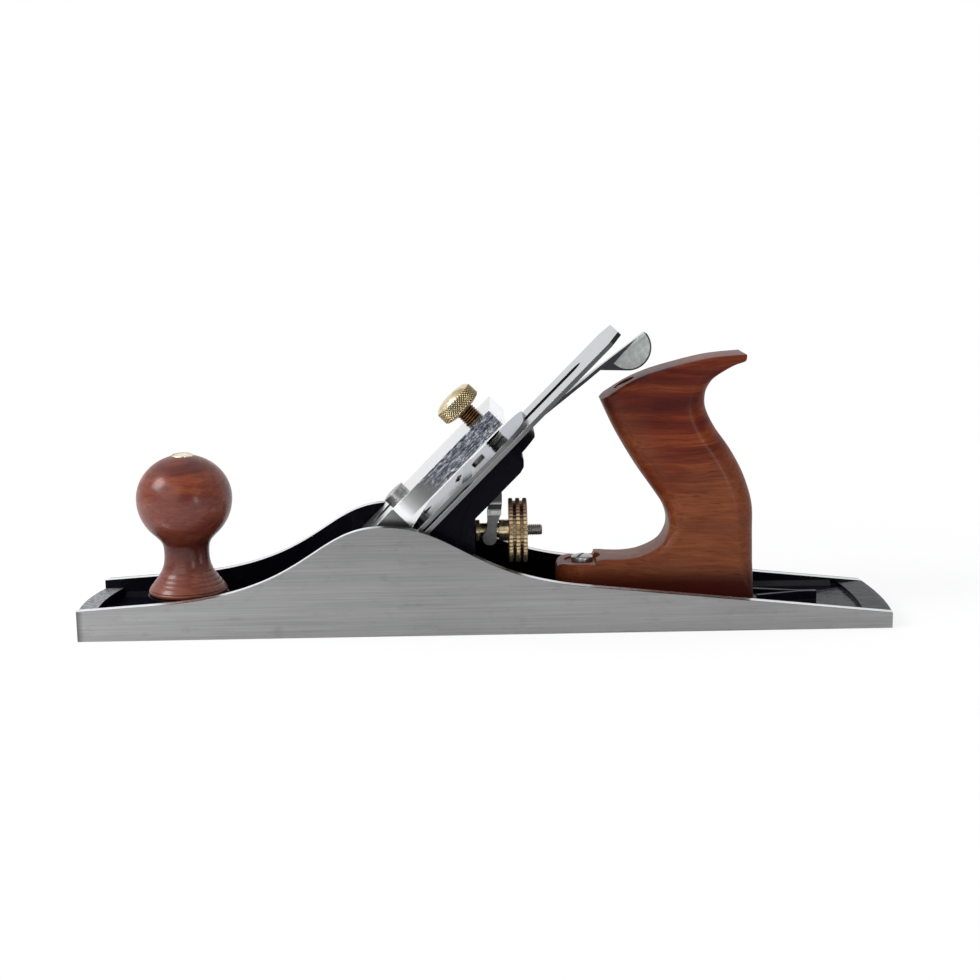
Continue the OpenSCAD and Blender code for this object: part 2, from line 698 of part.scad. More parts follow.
// A knurled ring: straight ridges round a disc, seated at z = 0
module knurled_ring(d, h, ridges, depth) {
    linear_extrude(h) polygon([
        for (i = [0:ridges - 1]) for (k = [0:3])
            let (a = 360 * (i + [0.05, 0.25, 0.55, 0.75][k]) / ridges, r = d / 2 - (k < 2 ? depth : 0))
                r * [cos(a), sin(a)]
    ]);
}
module thumb_screw() {
    head_v = lever_cap_top_v + thumb_reach;
    color([0.78, 0.64, 0.33])
        on_bed() translate([thumb_u, 0, 0]) {
            translate([0, 0, clamp_top_v + slip + 1]) cylinder(h = head_v - clamp_top_v, d = thumb_thread_d);
            translate([0, 0, clamp_top_v + slip])
                cylinder(h = 1, d1 = thumb_thread_d - 2, d2 = thumb_thread_d);
            translate([0, 0, head_v - 1.2]) cylinder(h = 1.2, d1 = thumb_d - 8, d2 = thumb_d - 1.6);
            translate([0, 0, head_v]) knurled_ring(thumb_d, thumb_rim_t, thumb_ridges, 0.4);
            // Domed face
            translate([0, 0, head_v + thumb_rim_t]) intersection() {
                cylinder(h = 2.6, d = thumb_d - 1.6);
                translate([0, 0, 2.4 - 20]) sphere(r = 20, $fn = 128);
            }
        }
}

// Depth adjuster: stud, nut and yoke
nut_flange_x = frog_rear_x + 0.1;
nut_flange_t = 2;
nut_groove_w = 9.2;
nut_hub_l = 4.7;
nut_wheel_x = nut_flange_x + nut_flange_t + nut_groove_w + nut_hub_l;
stud_front_x = frog_recess_x - 7;
module adjusting_stud() {
    color([0.5, 0.5, 0.52])
        translate([stud_front_x + 0.3, 0, stud_z]) along_x() {
            cylinder(h = stud_end_x - stud_front_x - 1.3, d = stud_d);
            translate([0, 0, stud_end_x - stud_front_x - 1.3]) cylinder(h = 1, d1 = stud_d, d2 = stud_d - 2);
        }
}
module adjusting_nut() {
    ring_w = 2.2;
    ring_gap = (nut_wheel_w - 3 * ring_w) / 2;
    color([0.78, 0.64, 0.33])
        translate([nut_flange_x, 0, stud_z]) along_x()
            difference() {
                union() {
                    cylinder(h = nut_flange_t, d = nut_hub_d);
                    cylinder(h = nut_wheel_x - nut_flange_x + 1, d = nut_groove_d);
                    translate([0, 0, nut_flange_t + nut_groove_w])
                        cylinder(h = nut_hub_l + 1, d = nut_hub_d);
                    translate([0, 0, nut_wheel_x - nut_flange_x]) {
                        cylinder(h = nut_wheel_w, d = nut_d - 2.4);
                        for (i = [0:2])
                            translate([0, 0, i * (ring_w + ring_gap)])
                                knurled_ring(nut_d, ring_w, nut_ridges, 0.5);
                    }
                }
                // Dished faces of the wheel and the threaded bore
                translate([0, 0, nut_wheel_x - nut_flange_x + nut_wheel_w - 1]) difference() {
                    cylinder(h = 2, d = nut_d - 6);
                    translate([0, 0, -over]) cylinder(h = 4, d = nut_hub_d);
                }
                translate([0, 0, -over]) cylinder(h = through, d = stud_d + 2 * fit);
            }
}
yoke_pivot_u = 99;
yoke_pivot_v = -8.5;
yoke_pivot = [bed_pt(yoke_pivot_u, yoke_pivot_v)[0], 0, bed_pt(yoke_pivot_u, yoke_pivot_v)[1]];
yoke_barrel_d = 7;
dog_r = 1.5;
dog_w = 8;
dog_play = 0.5;
dog_v = (cap_iron_v + cap_iron_top_v) / 2 + 0.1;
leg_t = 2.4;
leg_inner = nut_groove_d / 2 + 0.3;
yoke_w = 2 * (leg_inner + leg_t);
leg_end = [nut_flange_x + nut_flange_t + nut_groove_w / 2 + 0.2, stud_z - yoke_leg_drop];
// Heights above the legs' round ends of the fork and of the ridge over it
fork_h = 11.4;
ridge_h = 16.6;
module yoke() {
    pin = [yoke_pivot[0], yoke_pivot[2]];
    color([0.62, 0.63, 0.64])
        difference() {
            union() {
                on_bed() side_extrude(dog_w) {
                    translate([dog_u, dog_v]) circle(r = dog_r);
                    polygon([
                        [dog_u - dog_r, dog_v], [dog_u + dog_r, dog_v], [dog_u + dog_r + 0.4, dog_v - 4.5],
                        [yoke_pivot_u, yoke_pivot_v + 3], [yoke_pivot_u - 2, yoke_pivot_v - 2.4],
                        [dog_u - dog_r + 0.4, dog_v - 7]
                    ]);
                }
                translate(yoke_pivot) rotate([90, 0, 0])
                    cylinder(h = yoke_w, d = yoke_barrel_d, center = true);
                // Arm from the pin down to the fork
                side_extrude(yoke_w) polygon([
                    leg_end + [-1.1, fork_h], leg_end + [0, ridge_h + 1],
                    pin + yoke_barrel_d / 2 * [-1, -0.2], pin + yoke_barrel_d / 2 * [1, 0.2],
                    leg_end + [6.2, ridge_h + 4.6], leg_end + [6.1, ridge_h], leg_end + [5.4, fork_h]
                ]);
                for (s = [-1, 1])
                    translate([0, s * (leg_inner + leg_t / 2), 0]) side_extrude(leg_t) {
                        translate(leg_end) circle(d = yoke_leg_end_d);
                        polygon([
                            leg_end + [-2.4, 2.4], leg_end + [-1.1, 6], leg_end + [-1.1, fork_h],
                            leg_end + [5.4, fork_h], leg_end + [3.4, 6.4], leg_end + [3.3, 1]
                        ]);
                    }
                // Raised bands round the fork
                translate([leg_end[0] + 0.3, -yoke_w / 2 - 0.8, leg_end[1] + fork_h])
                    cube([5.4, yoke_w + 1.6, 2.4]);
                translate([leg_end[0] + 0.1, -yoke_w / 2 - 0.6, leg_end[1] + ridge_h])
                    cube([6, yoke_w + 1.2, 0.8]);
            }
            translate(yoke_pivot) rotate([90, 0, 0])
                cylinder(h = through, d = yoke_pin_d + 2 * fit, center = true);
        }
}
module yoke_pin() {
    color([0.5, 0.5, 0.52])
        translate(yoke_pivot) rotate([90, 0, 0]) cylinder(h = 2 * rib_half_w, d = yoke_pin_d, center = true);
}

// Lateral lever: a strip let into the bed, bent to the finger pad
lateral_v = -lateral_recess + 0.1;
lateral_pin_d = 4;
// The strip bends once it is clear of the frog, also when it is swung to one side
bend_u = bed_l + 1;
strip_end = [bed_l + 42, lateral_v - 4.9];
// The end of the strip leans further off the bed and carries the pad under it
pad_slope = -0.14;
pad_c = strip_end + 17.2 * [1, pad_slope];
strip_tip = pad_c + (pad_r - 0.4) * [1, pad_slope];
module lever_strip() {
    nose_u = lateral_u - roller_arm;
    neck_w = 5.2;
    intersection() {
        side_extrude(lateral_w) polygon([
            [nose_u - lever_nose_r, lateral_v], [bend_u, lateral_v], strip_end, strip_tip,
            strip_tip + [0, lateral_t], strip_end + [0, lateral_t], [bend_u, lateral_v + lateral_t],
            [nose_u - lever_nose_r, lateral_v + lateral_t]
        ]);
        linear_extrude(through, center = true) union() {
            translate([nose_u, 0]) circle(r = lever_nose_r);
            polygon([
                [nose_u, lever_nose_r], [lateral_u - 5, lateral_w / 2],
                [strip_end[0] - 8, lateral_w / 2], [strip_end[0] - 8, -lateral_w / 2],
                [lateral_u - 5, -lateral_w / 2], [nose_u, -lever_nose_r]
            ]);
            polygon([
                [strip_end[0] - 8, lateral_w / 2], [strip_end[0] + 4, neck_w / 2],
                [strip_tip[0], neck_w / 2], [strip_tip[0], -neck_w / 2],
                [strip_end[0] + 4, -neck_w / 2], [strip_end[0] - 8, -lateral_w / 2]
            ]);
        }
    }
}
// Finger pad, a half disc that stands square to the bed
module finger_pad() {
    side_extrude(lateral_t) intersection() {
        union() {
            translate(pad_c) circle(r = pad_r);
            polygon([strip_end, pad_c, pad_c - pad_r * [sin(bed_angle), cos(bed_angle)]]);
        }
        translate(strip_end + [0, 0.5]) polygon([
            [0, 0], 4 * pad_r * [1, pad_slope], 4 * pad_r * [1, -1], 4 * pad_r * [0, -1]
        ]);
    }
}
module lateral_lever() {
    color([0.72, 0.73, 0.74])
        on_bed() difference() {
            union() {
                lever_strip();
                finger_pad();
            }
            translate([lateral_u, 0, 0]) cylinder(h = through, d = lateral_pin_d + 2 * fit, center = true);
            translate([lateral_u - roller_arm, 0, 0])
                cylinder(h = through, d = rivet_d + 2 * fit, center = true);
        }
}
rivet_d = 3;
lever_nose_r = 3.5;
module lateral_lever_roller() {
    color([0.7, 0.7, 0.72])
        on_bed() translate([lateral_u - roller_arm, 0, 0]) {
            translate([0, 0, 0.15]) cylinder(h = iron_t - 0.6, d = roller_d);
            translate([0, 0, lateral_v]) cylinder(h = iron_t - 0.6 - lateral_v, d = rivet_d);
        }
}
module lateral_lever_pin() {
    color([0.6, 0.6, 0.62])
        on_bed() translate([lateral_u, 0, 0]) {
            translate([0, 0, -bed_plate_t]) cylinder(h = bed_plate_t - 0.1, d = lateral_pin_d);
        }
}

// Knob, its rod and its domed nut
rod_foot_z = 3;
knob_nut_top = ball_z + ball_d / 2 - 0.7;
// Height of the ball's upper half against a true half ball
ball_flat = 0.93;
knob_bore_z = knob_nut_top - 13;
module knob() {
    foot_r = knob_foot_d / 2;
    neck = [neck_d / 2, ball_z - 27];
    r = ball_d / 2;
    join_a = -45.5;
    join = [r * cos(join_a), ball_z + r * sin(join_a)];
    top_a = acos((knob_nut_d / 2 + 0.6) / r);
    flare = [foot_r - 0.4, knob_seat_z + 2.8];
    foot = [[0, knob_seat_z], [foot_r - 1.4, knob_seat_z], [foot_r - 0.5, knob_seat_z + 0.4],
        [foot_r, knob_seat_z + 1.4], [foot_r - 0.2, knob_seat_z + 2.4]];
    outline = concat(foot, [flare],
        bezier(flare, flare + [-4.2, 6.2], neck - [0, 8.5], neck, 14),
        bezier(neck, neck + [0, 6], join - 6 * [-sin(join_a), cos(join_a)], join, 10),
        [for (i = [1:30]) let (a = join_a + (top_a - join_a) * i / 30)
            [r * cos(a), ball_z + (a > 0 ? ball_flat : 1) * r * sin(a)]],
        [[0, ball_z + ball_flat * r * sin(top_a)]]
    );
    color([0.42, 0.2, 0.14])
        translate([knob_x, 0, 0]) difference() {
            rotate_extrude($fn = 96) polygon(outline);
            cylinder(h = ball_z + ball_d, d = rod_d + 0.6);
            translate([0, 0, knob_bore_z]) cylinder(h = ball_d, d = knob_nut_d + 2 * fit);
        }
}
module knob_stud() {
    color([0.5, 0.5, 0.52])
        translate([knob_x, 0, rod_foot_z + 0.3]) cylinder(h = knob_nut_top - 4.5 - rod_foot_z, d = rod_d);
}
// A slotted nut with a threaded sleeve, top of the dome at z = 0
module domed_nut(d, l, dome) {
    r = (pow(d / 2, 2) + pow(dome, 2)) / (2 * dome);
    difference() {
        intersection() {
            translate([0, 0, -l]) cylinder(h = l, d = d);
            translate([0, 0, -r]) sphere(r = max(r, l), $fn = 96);
        }
        translate([0, 0, -l - over]) cylinder(h = l - 3, d = rod_d + 2 * fit);
        translate([-d, -slot_w / 2, -1.6]) cube([2 * d, slot_w, 3]);
    }
}
module knob_nut() {
    color([0.78, 0.64, 0.33])
        translate([knob_x, 0, knob_nut_top]) domed_nut(knob_nut_d, 12, 2);
}

// Tote: an outline with its own edge radius at each point, rounded over both sides
// Each point: length and height from the front of the foot, edge radius, 1 where the outline turns sharply
tote_pts = [
    [0, 0, 1, 1], [6, 0, 1, 0], [12, 0, 1, 0], [18, 0, 1, 0], [28, 0, 1, 0], [38, 0, 1, 0], [48, 0, 1, 0],
    [60, 0, 1, 0], [74, 0, 1.5, 0], [95.5, 0, 1.5, 1], [96, 12, 8, 0], [95.6, 32, 10, 0],
    [94.4, 46.3, 10.5, 0], [90.4, 60.1, 11, 0], [84, 72.4, 11, 0], [76.2, 83.7, 11, 0],
    [71.9, 92.9, 10.5, 0], [71.4, 99.3, 9, 0], [72.6, 103.4, 8.3, 0], [75.4, 107.5, 7.5, 0],
    [83.7, 113, 6, 0], [89.6, 115.4, 4.5, 0], [90, 118.5, 3, 1], [80, 117.9, 3, 0], [71, 116.8, 3, 0],
    [58, 113.9, 3, 0], [45, 110.2, 3, 0], [33.5, 105.2, 3, 0], [21.8, 97.6, 2.5, 1],
    [28.7, 82.6, 9, 0], [37.8, 66.9, 10.5, 0], [47, 53.5, 10.5, 0], [51.8, 46, 10, 0], [54, 39.1, 8, 0],
    [53.6, 33.5, 6, 0], [49.9, 27.2, 4.5, 0], [41.3, 22.7, 3.5, 0], [32.8, 21.2, 3, 0], [22.6, 21.3, 2.5, 0],
    [19.2, 21, 2, 1], [18.5, 19, 1.5, 1], [3.5, 19, 1.5, 0], [0.9, 17.6, 1.5, 0], [0, 15, 1.5, 0]
];
tote_steps = 3;
function wrap(i, n) = (i + n) % n;
function tote_xy(i) = let (p = tote_pts[wrap(i, len(tote_pts))])
    [tote_x + p[0] * tote_l / 96, tote_seat_z + p[1] * tote_h / 118.5];
function tote_r(i) = tote_pts[wrap(i, len(tote_pts))][2] * tote_t / 28;
function tote_tan(i) = tote_pts[wrap(i, len(tote_pts))][3] == 1
    ? [0, 0] : (tote_xy(i + 1) - tote_xy(i - 1)) / 2;
function tote_curve(i, t) = let (
        a = tote_xy(i), b = tote_xy(i + 1),
        s = min(1, 2 * norm(b - a) / (0.01 + norm(tote_tan(i)) + norm(tote_tan(i + 1)))),
        ta = s * tote_tan(i), tb = s * tote_tan(i + 1))
    (2 * t * t * t - 3 * t * t + 1) * a + (t * t * t - 2 * t * t + t) * ta
    + (3 * t * t - 2 * t * t * t) * b + (t * t * t - t * t) * tb;
tote_outline = [
    for (i = [0:len(tote_pts) - 1]) for (k = [0:tote_steps - 1])
        let (t = k / tote_steps, p = tote_curve(i, t))
            [p[0], p[1], tote_r(i) * (1 - t) + tote_r(i + 1) * t]
];
tote_n = len(tote_outline);
function flat2(p) = [p[0], p[1]];
// Inward normal of the outline at point i
function tote_in(i) = let (
        a = flat2(tote_outline[wrap(i - 1, tote_n)]), b = flat2(tote_outline[wrap(i + 1, tote_n)]),
        d = (b - a) / norm(b - a))
    [-d[1], d[0]];
function tote_ring(side, a) = [
    for (i = [0:tote_n - 1]) let (
            r = tote_outline[i][2], p = flat2(tote_outline[i]) + r * (1 - sin(a)) * tote_in(i))
        [p[0], side * (tote_t / 2 - r * (1 - cos(a))), p[1]]
];
tote_angles = [0, 30, 60, 90];
module tote_blank() {
    rings = concat(
        [for (a = tote_angles) tote_ring(-1, a)],
        [for (i = [3:-1:0]) tote_ring(1, tote_angles[i])]
    );
    points = [for (r = rings) each r];
    last = len(rings) - 1;
    sides = [for (j = [0:last - 1]) for (i = [0:tote_n - 1]) for (half = [0, 1])
        let (k = wrap(i + 1, tote_n), a = j * tote_n, b = a + tote_n)
            half == 0 ? [a + i, b + i, a + k] : [b + i, b + k, a + k]];
    // Flat flanks as a ladder of rungs from the front of the foot to the horn
    half_n = tote_n / 2;
    near = [for (i = [1:half_n - 1]) for (t = [[i, i + 1, tote_n - i], [i + 1, tote_n - i - 1, tote_n - i]])
        if (t[0] != t[1] && t[1] != t[2] && t[0] != t[2]) t];
    far = [for (t = near) last * tote_n * [1, 1, 1] + [t[2], t[1], t[0]]];
    polyhedron(points = points, faces = concat([[0, 1, tote_n - 1]], near, sides,
        [last * tote_n * [1, 1, 1] + [tote_n - 1, 1, 0]], far));
}
// The rod leans back from the top of the tote to its pad
tote_top_mid = tote_xy(27);
tote_rod_tilt = 22.5;
tote_rod_depth = 5;
module along_tote_rod() {
    drop = tote_top_mid[1] - tote_seat_z;
    translate([tote_top_mid[0] + drop * tan(tote_rod_tilt), 0, tote_seat_z])
        rotate([0, -tote_rod_tilt, 0]) children();
}
tote_rod_l = (tote_top_mid[1] - tote_seat_z) / cos(tote_rod_tilt);
toe_screw_x = tote_x + 12.9 * tote_l / 96;
toe_screw_z = tote_seat_z + 18.4 * tote_h / 118.5;
toe_shank_d = 5;
toe_seat_d = 17.6;
tote_nut_l = 11.9;
module tote() {
    color([0.42, 0.2, 0.14])
        difference() {
            intersection() {
                tote_blank();
                // Toe rounded about its screw
                union() {
                    translate([toe_screw_x, 0, 0]) cylinder(h = 2 * tote_h, d = tote_t, $fn = 96);
                    translate([toe_screw_x, -tote_t, 0]) cube([tote_l, 2 * tote_t, 2 * tote_h]);
                }
            }
            along_tote_rod() {
                translate([0, 0, -2 * tote_rod_depth]) cylinder(h = tote_rod_l + through, d = rod_d + 0.8);
                translate([0, 0, tote_rod_l - tote_nut_l - 1.1]) cylinder(h = through, d = tote_nut_d + 0.8);
            }
            translate([toe_screw_x, 0, 0]) cylinder(h = tote_h, d = toe_shank_d + 0.6);
            // Sunk seat of the toe screw's head
            translate([toe_screw_x, 0, toe_screw_z]) cylinder(h = 6, d = toe_seat_d);
        }
}
module tote_stud() {
    color([0.5, 0.5, 0.52])
        along_tote_rod() translate([0, 0, -tote_rod_depth + 0.3]) cylinder(h = tote_rod_l - 0.6, d = rod_d);
}
module tote_nut() {
    color([0.78, 0.64, 0.33])
        along_tote_rod() translate([0, 0, tote_rod_l - 1]) domed_nut(tote_nut_d, tote_nut_l, 1.2);
}
module tote_toe_screw() {
    color([0.7, 0.7, 0.72])
        translate([toe_screw_x, 0, 0]) {
            translate([0, 0, rod_foot_z + 0.3]) cylinder(h = toe_screw_z - rod_foot_z, d = toe_shank_d);
            translate([0, 0, toe_screw_z]) slotted_head(toe_screw_d, 3.2);
        }
}

plane_body();
frog();
frog_screws();
frog_washers();
frog_adjusting_screw();
frog_adjusting_plate();
frog_plate_screw();
cutting_iron();
cap_iron();
cap_iron_screw();
lever_cap();
lever_cap_screw();
thumb_screw();
adjusting_stud();
adjusting_nut();
yoke();
yoke_pin();
lateral_lever();
lateral_lever_pin();
lateral_lever_roller();
knob();
knob_stud();
knob_nut();
tote();
tote_stud();
tote_nut();
tote_toe_screw();
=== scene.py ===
"""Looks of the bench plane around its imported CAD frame: materials, finer pieces, light and camera."""

import math

import bmesh
import bpy
from mathutils import Matrix, Vector


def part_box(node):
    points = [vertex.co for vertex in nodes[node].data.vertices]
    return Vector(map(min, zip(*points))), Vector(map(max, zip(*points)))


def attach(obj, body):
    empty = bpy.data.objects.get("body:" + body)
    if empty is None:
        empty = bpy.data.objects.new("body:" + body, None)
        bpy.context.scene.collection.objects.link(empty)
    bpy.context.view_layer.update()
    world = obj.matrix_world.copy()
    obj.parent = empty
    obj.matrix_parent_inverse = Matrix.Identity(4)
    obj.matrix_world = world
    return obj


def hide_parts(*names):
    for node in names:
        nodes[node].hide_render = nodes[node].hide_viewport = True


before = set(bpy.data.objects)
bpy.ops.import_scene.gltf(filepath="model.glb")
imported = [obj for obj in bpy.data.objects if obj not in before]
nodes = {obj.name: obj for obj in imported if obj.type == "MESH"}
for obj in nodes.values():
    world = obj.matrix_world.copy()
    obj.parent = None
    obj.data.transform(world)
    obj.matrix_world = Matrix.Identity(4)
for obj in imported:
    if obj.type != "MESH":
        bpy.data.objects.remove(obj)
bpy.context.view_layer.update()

MM = 0.001

# Sizes shared with the part's source, in mm
BODY_L, BODY_W, CHEEK_T = 381.0, 73.0, 5.5
TOE_BOW, HEEL_BOW, TOE_RIM_W = 5.0, 2.5, 9.0
MID_X = (TOE_BOW - HEEL_BOW) / 2
MOUTH_X = -71.55
BED = math.radians(45)
BED_UP = (-math.sin(BED), 0, math.cos(BED))
BED_TURN = (0, BED, 0)
IRON_SLOT_W, STEP_U = 12.0, 63.0
THUMB_U, THUMB_D, THUMB_HEAD_V, THUMB_RIM = 117.3, 21.4, 27.25, 6.4
NUT_R = 15.5
# The lateral lever's pad, and the edge of the shaded wedge beside its strip, in bed coordinates
PAD_C, PAD_R = (193.2, -9.31), 10.9
WEDGE = ((194.6, -9.0), (180.9, -9.9))


# Node helpers
class Mat:
    """A material under construction; every method adds one node and returns its output."""

    def __init__(self, name):
        self.mat = bpy.data.materials.new(name)
        self.mat.use_nodes = True
        self.nt = self.mat.node_tree
        self.nt.nodes.clear()
        self.out = self.add("ShaderNodeOutputMaterial")
        self.co = self.add("ShaderNodeTexCoord").outputs["Object"]

    def add(self, kind, **props):
        n = self.nt.nodes.new(kind)
        for k, v in props.items():
            setattr(n, k, v)
        return n

    def put(self, socket, value):
        if isinstance(value, bpy.types.NodeSocket):
            self.nt.links.new(value, socket)
        elif isinstance(value, tuple) and len(value) == 3 and socket.type == "RGBA":
            socket.default_value = (*value, 1)
        else:
            socket.default_value = value

    def math(self, op, a, b=0.0, clamp=False):
        n = self.add("ShaderNodeMath", operation=op, use_clamp=clamp)
        self.put(n.inputs[0], a)
        self.put(n.inputs[1], b)
        return n.outputs[0]

    def scaled(self, scale, co=None, turn=(0, 0, 0)):
        """Coordinates turned first and then scaled, so that streaks follow the turned axes."""
        co = co or self.co
        for key, value, plain in (("Rotation", turn, (0, 0, 0)), ("Scale", scale, (1, 1, 1))):
            if value != plain:
                n = self.add("ShaderNodeMapping")
                self.put(n.inputs["Vector"], co)
                n.inputs[key].default_value = value
                co = n.outputs[0]
        return co

    def noise(self, scale, detail=3.0, rough=0.55, co=None, turn=(0, 0, 0), distortion=0.0):
        n = self.add("ShaderNodeTexNoise")
        self.put(n.inputs["Vector"], self.scaled(scale, co, turn))
        n.inputs["Scale"].default_value = 1.0
        n.inputs["Detail"].default_value = detail
        n.inputs["Roughness"].default_value = rough
        n.inputs["Distortion"].default_value = distortion
        return n.outputs["Fac"]

    def span(self, value, low, high, to_low=0.0, to_high=1.0):
        n = self.add("ShaderNodeMapRange")
        n.clamp = True
        for key, v in zip(("Value", "From Min", "From Max", "To Min", "To Max"), (value, low, high, to_low, to_high)):
            self.put(n.inputs[key], v)
        return n.outputs[0]

    def ramp(self, fac, stops):
        n = self.add("ShaderNodeValToRGB")
        e = n.color_ramp.elements
        while len(e) < len(stops):
            e.new(0.5)
        for el, (pos, col) in zip(e, stops):
            el.position = pos
            el.color = (*col, 1)
        self.put(n.inputs[0], fac)
        return n.outputs[0]

    def mix(self, fac, a, b, blend="MIX"):
        n = self.add("ShaderNodeMix", data_type="RGBA", blend_type=blend)
        self.put(n.inputs["Factor"], fac)
        self.put(n.inputs["A"], a)
        self.put(n.inputs["B"], b)
        return n.outputs["Result"]

    def blend(self, fac, a, b):
        n = self.add("ShaderNodeMix", data_type="FLOAT")
        self.put(n.inputs["Factor"], fac)
        self.put(n.inputs["A"], a)
        self.put(n.inputs["B"], b)
        return n.outputs["Result"]

    def bevel(self, radius=0.35 * MM):
        n = self.add("ShaderNodeBevel", samples=4)
        n.inputs["Radius"].default_value = radius
        return n.outputs[0]

    def bump(self, height, distance, normal=None, strength=1.0):
        n = self.add("ShaderNodeBump")
        n.inputs["Distance"].default_value = distance
        n.inputs["Strength"].default_value = strength
        self.put(n.inputs["Height"], height)
        if normal is not None:
            self.put(n.inputs["Normal"], normal)
        return n.outputs[0]

    def xyz(self):
        n = self.add("ShaderNodeSeparateXYZ")
        self.put(n.inputs[0], self.co)
        return n.outputs

    def bed(self):
        """The point's u up the bed, v square off it, and y."""
        x, y, z = self.xyz()
        dx = self.math("SUBTRACT", x, MOUTH_X * MM)
        u = self.math("MULTIPLY", self.math("ADD", dx, z), math.cos(BED))
        v = self.math("MULTIPLY", self.math("SUBTRACT", z, dx), math.cos(BED))
        return u, v, y

    def dot(self, axis):
        """The share of the face's own normal that points along axis."""
        g = self.add("ShaderNodeNewGeometry")
        n = self.add("ShaderNodeVectorMath", operation="DOT_PRODUCT")
        self.put(n.inputs[0], g.outputs["True Normal"])
        n.inputs[1].default_value = axis
        return n.outputs["Value"]

    def grey(self, value):
        n = self.add("ShaderNodeCombineColor")
        for i in range(3):
            self.put(n.inputs[i], value)
        return n.outputs[0]

    def shader(self, **values):
        n = self.add("ShaderNodeBsdfPrincipled")
        for k, v in values.items():
            self.put(n.inputs[k.replace("_", " ")], v)
        return n.outputs[0]

    def mixed(self, fac, a, b):
        n = self.add("ShaderNodeMixShader")
        self.put(n.inputs[0], fac)
        self.put(n.inputs[1], a)
        self.put(n.inputs[2], b)
        return n.outputs[0]

    def done(self, shader):
        self.put(self.out.inputs["Surface"], shader)
        return self.mat


def ground(m, turn=(0, 0, 0), tone=0.46, rough=0.38, along=18.0, across=1500.0, wear=0.5, contrast=0.25,
           grazing=(1.0, 1.0, 1.0)):
    """Ground iron or steel: fine lines along one direction, faint patches and rubs.

    grazing tints what it mirrors at low angles."""
    lines = m.noise((along, across, across), 4.0, 0.65, turn=turn)
    coarse = m.noise((along * 0.4, across * 0.22, across * 0.22), 3.0, 0.6, turn=turn)
    patch = m.noise((14, 30, 30), 4.0, 0.6)
    grime = m.noise((90, 160, 160), 5.0, 0.7)
    both = m.math("ADD", m.math("MULTIPLY", lines, 0.75), m.math("MULTIPLY", coarse, 0.25))
    shade = m.span(both, 0.3, 0.7, 1 - contrast, 1 + contrast)
    shade = m.math("MULTIPLY", shade, m.span(patch, 0.25, 0.75, 0.92, 1.06))
    shade = m.math("MULTIPLY", shade, m.span(grime, 0.56, 0.8, 1.0, 1.0 - 0.35 * wear))
    shade = m.math("MULTIPLY", shade, tone, clamp=True)
    r = m.span(both, 0.3, 0.7, rough * 0.85, rough * 1.2)
    n = m.bump(both, 0.012 * MM, m.bevel())
    return m.shader(Base_Color=m.grey(shade), Metallic=0.92, Roughness=r, Specular_Tint=grazing, Normal=n)


def japan(m, tone=0.003, rough=0.13, gloss=0.12):
    """Black japanning over cast iron: deep gloss, orange peel and a little dust."""
    peel = m.noise((380, 380, 380), 2.0, 0.5)
    lumps = m.noise((90, 90, 90), 3.0, 0.6)
    dust = m.noise((700, 700, 700), 5.0, 0.75)
    film = m.span(m.math("MULTIPLY", dust, lumps), 0.32, 0.46)
    c = m.mix(m.math("MULTIPLY", film, 0.2), (tone, tone, tone * 1.8), (0.04, 0.04, 0.048))
    r = m.span(lumps, 0.3, 0.7, rough * 0.7, rough * 1.9)
    h = m.math("ADD", m.math("MULTIPLY", peel, 0.5), lumps)
    n = m.bump(h, 0.5 * MM, m.bevel(0.6 * MM), 0.8)
    glossy = m.shader(Base_Color=c, Roughness=r, Specular_IOR_Level=gloss, Normal=n)
    dull = m.shader(Base_Color=c, Roughness=0.8, Specular_IOR_Level=0.0, Normal=n)
    return m.mixed(0.6, glossy, dull)


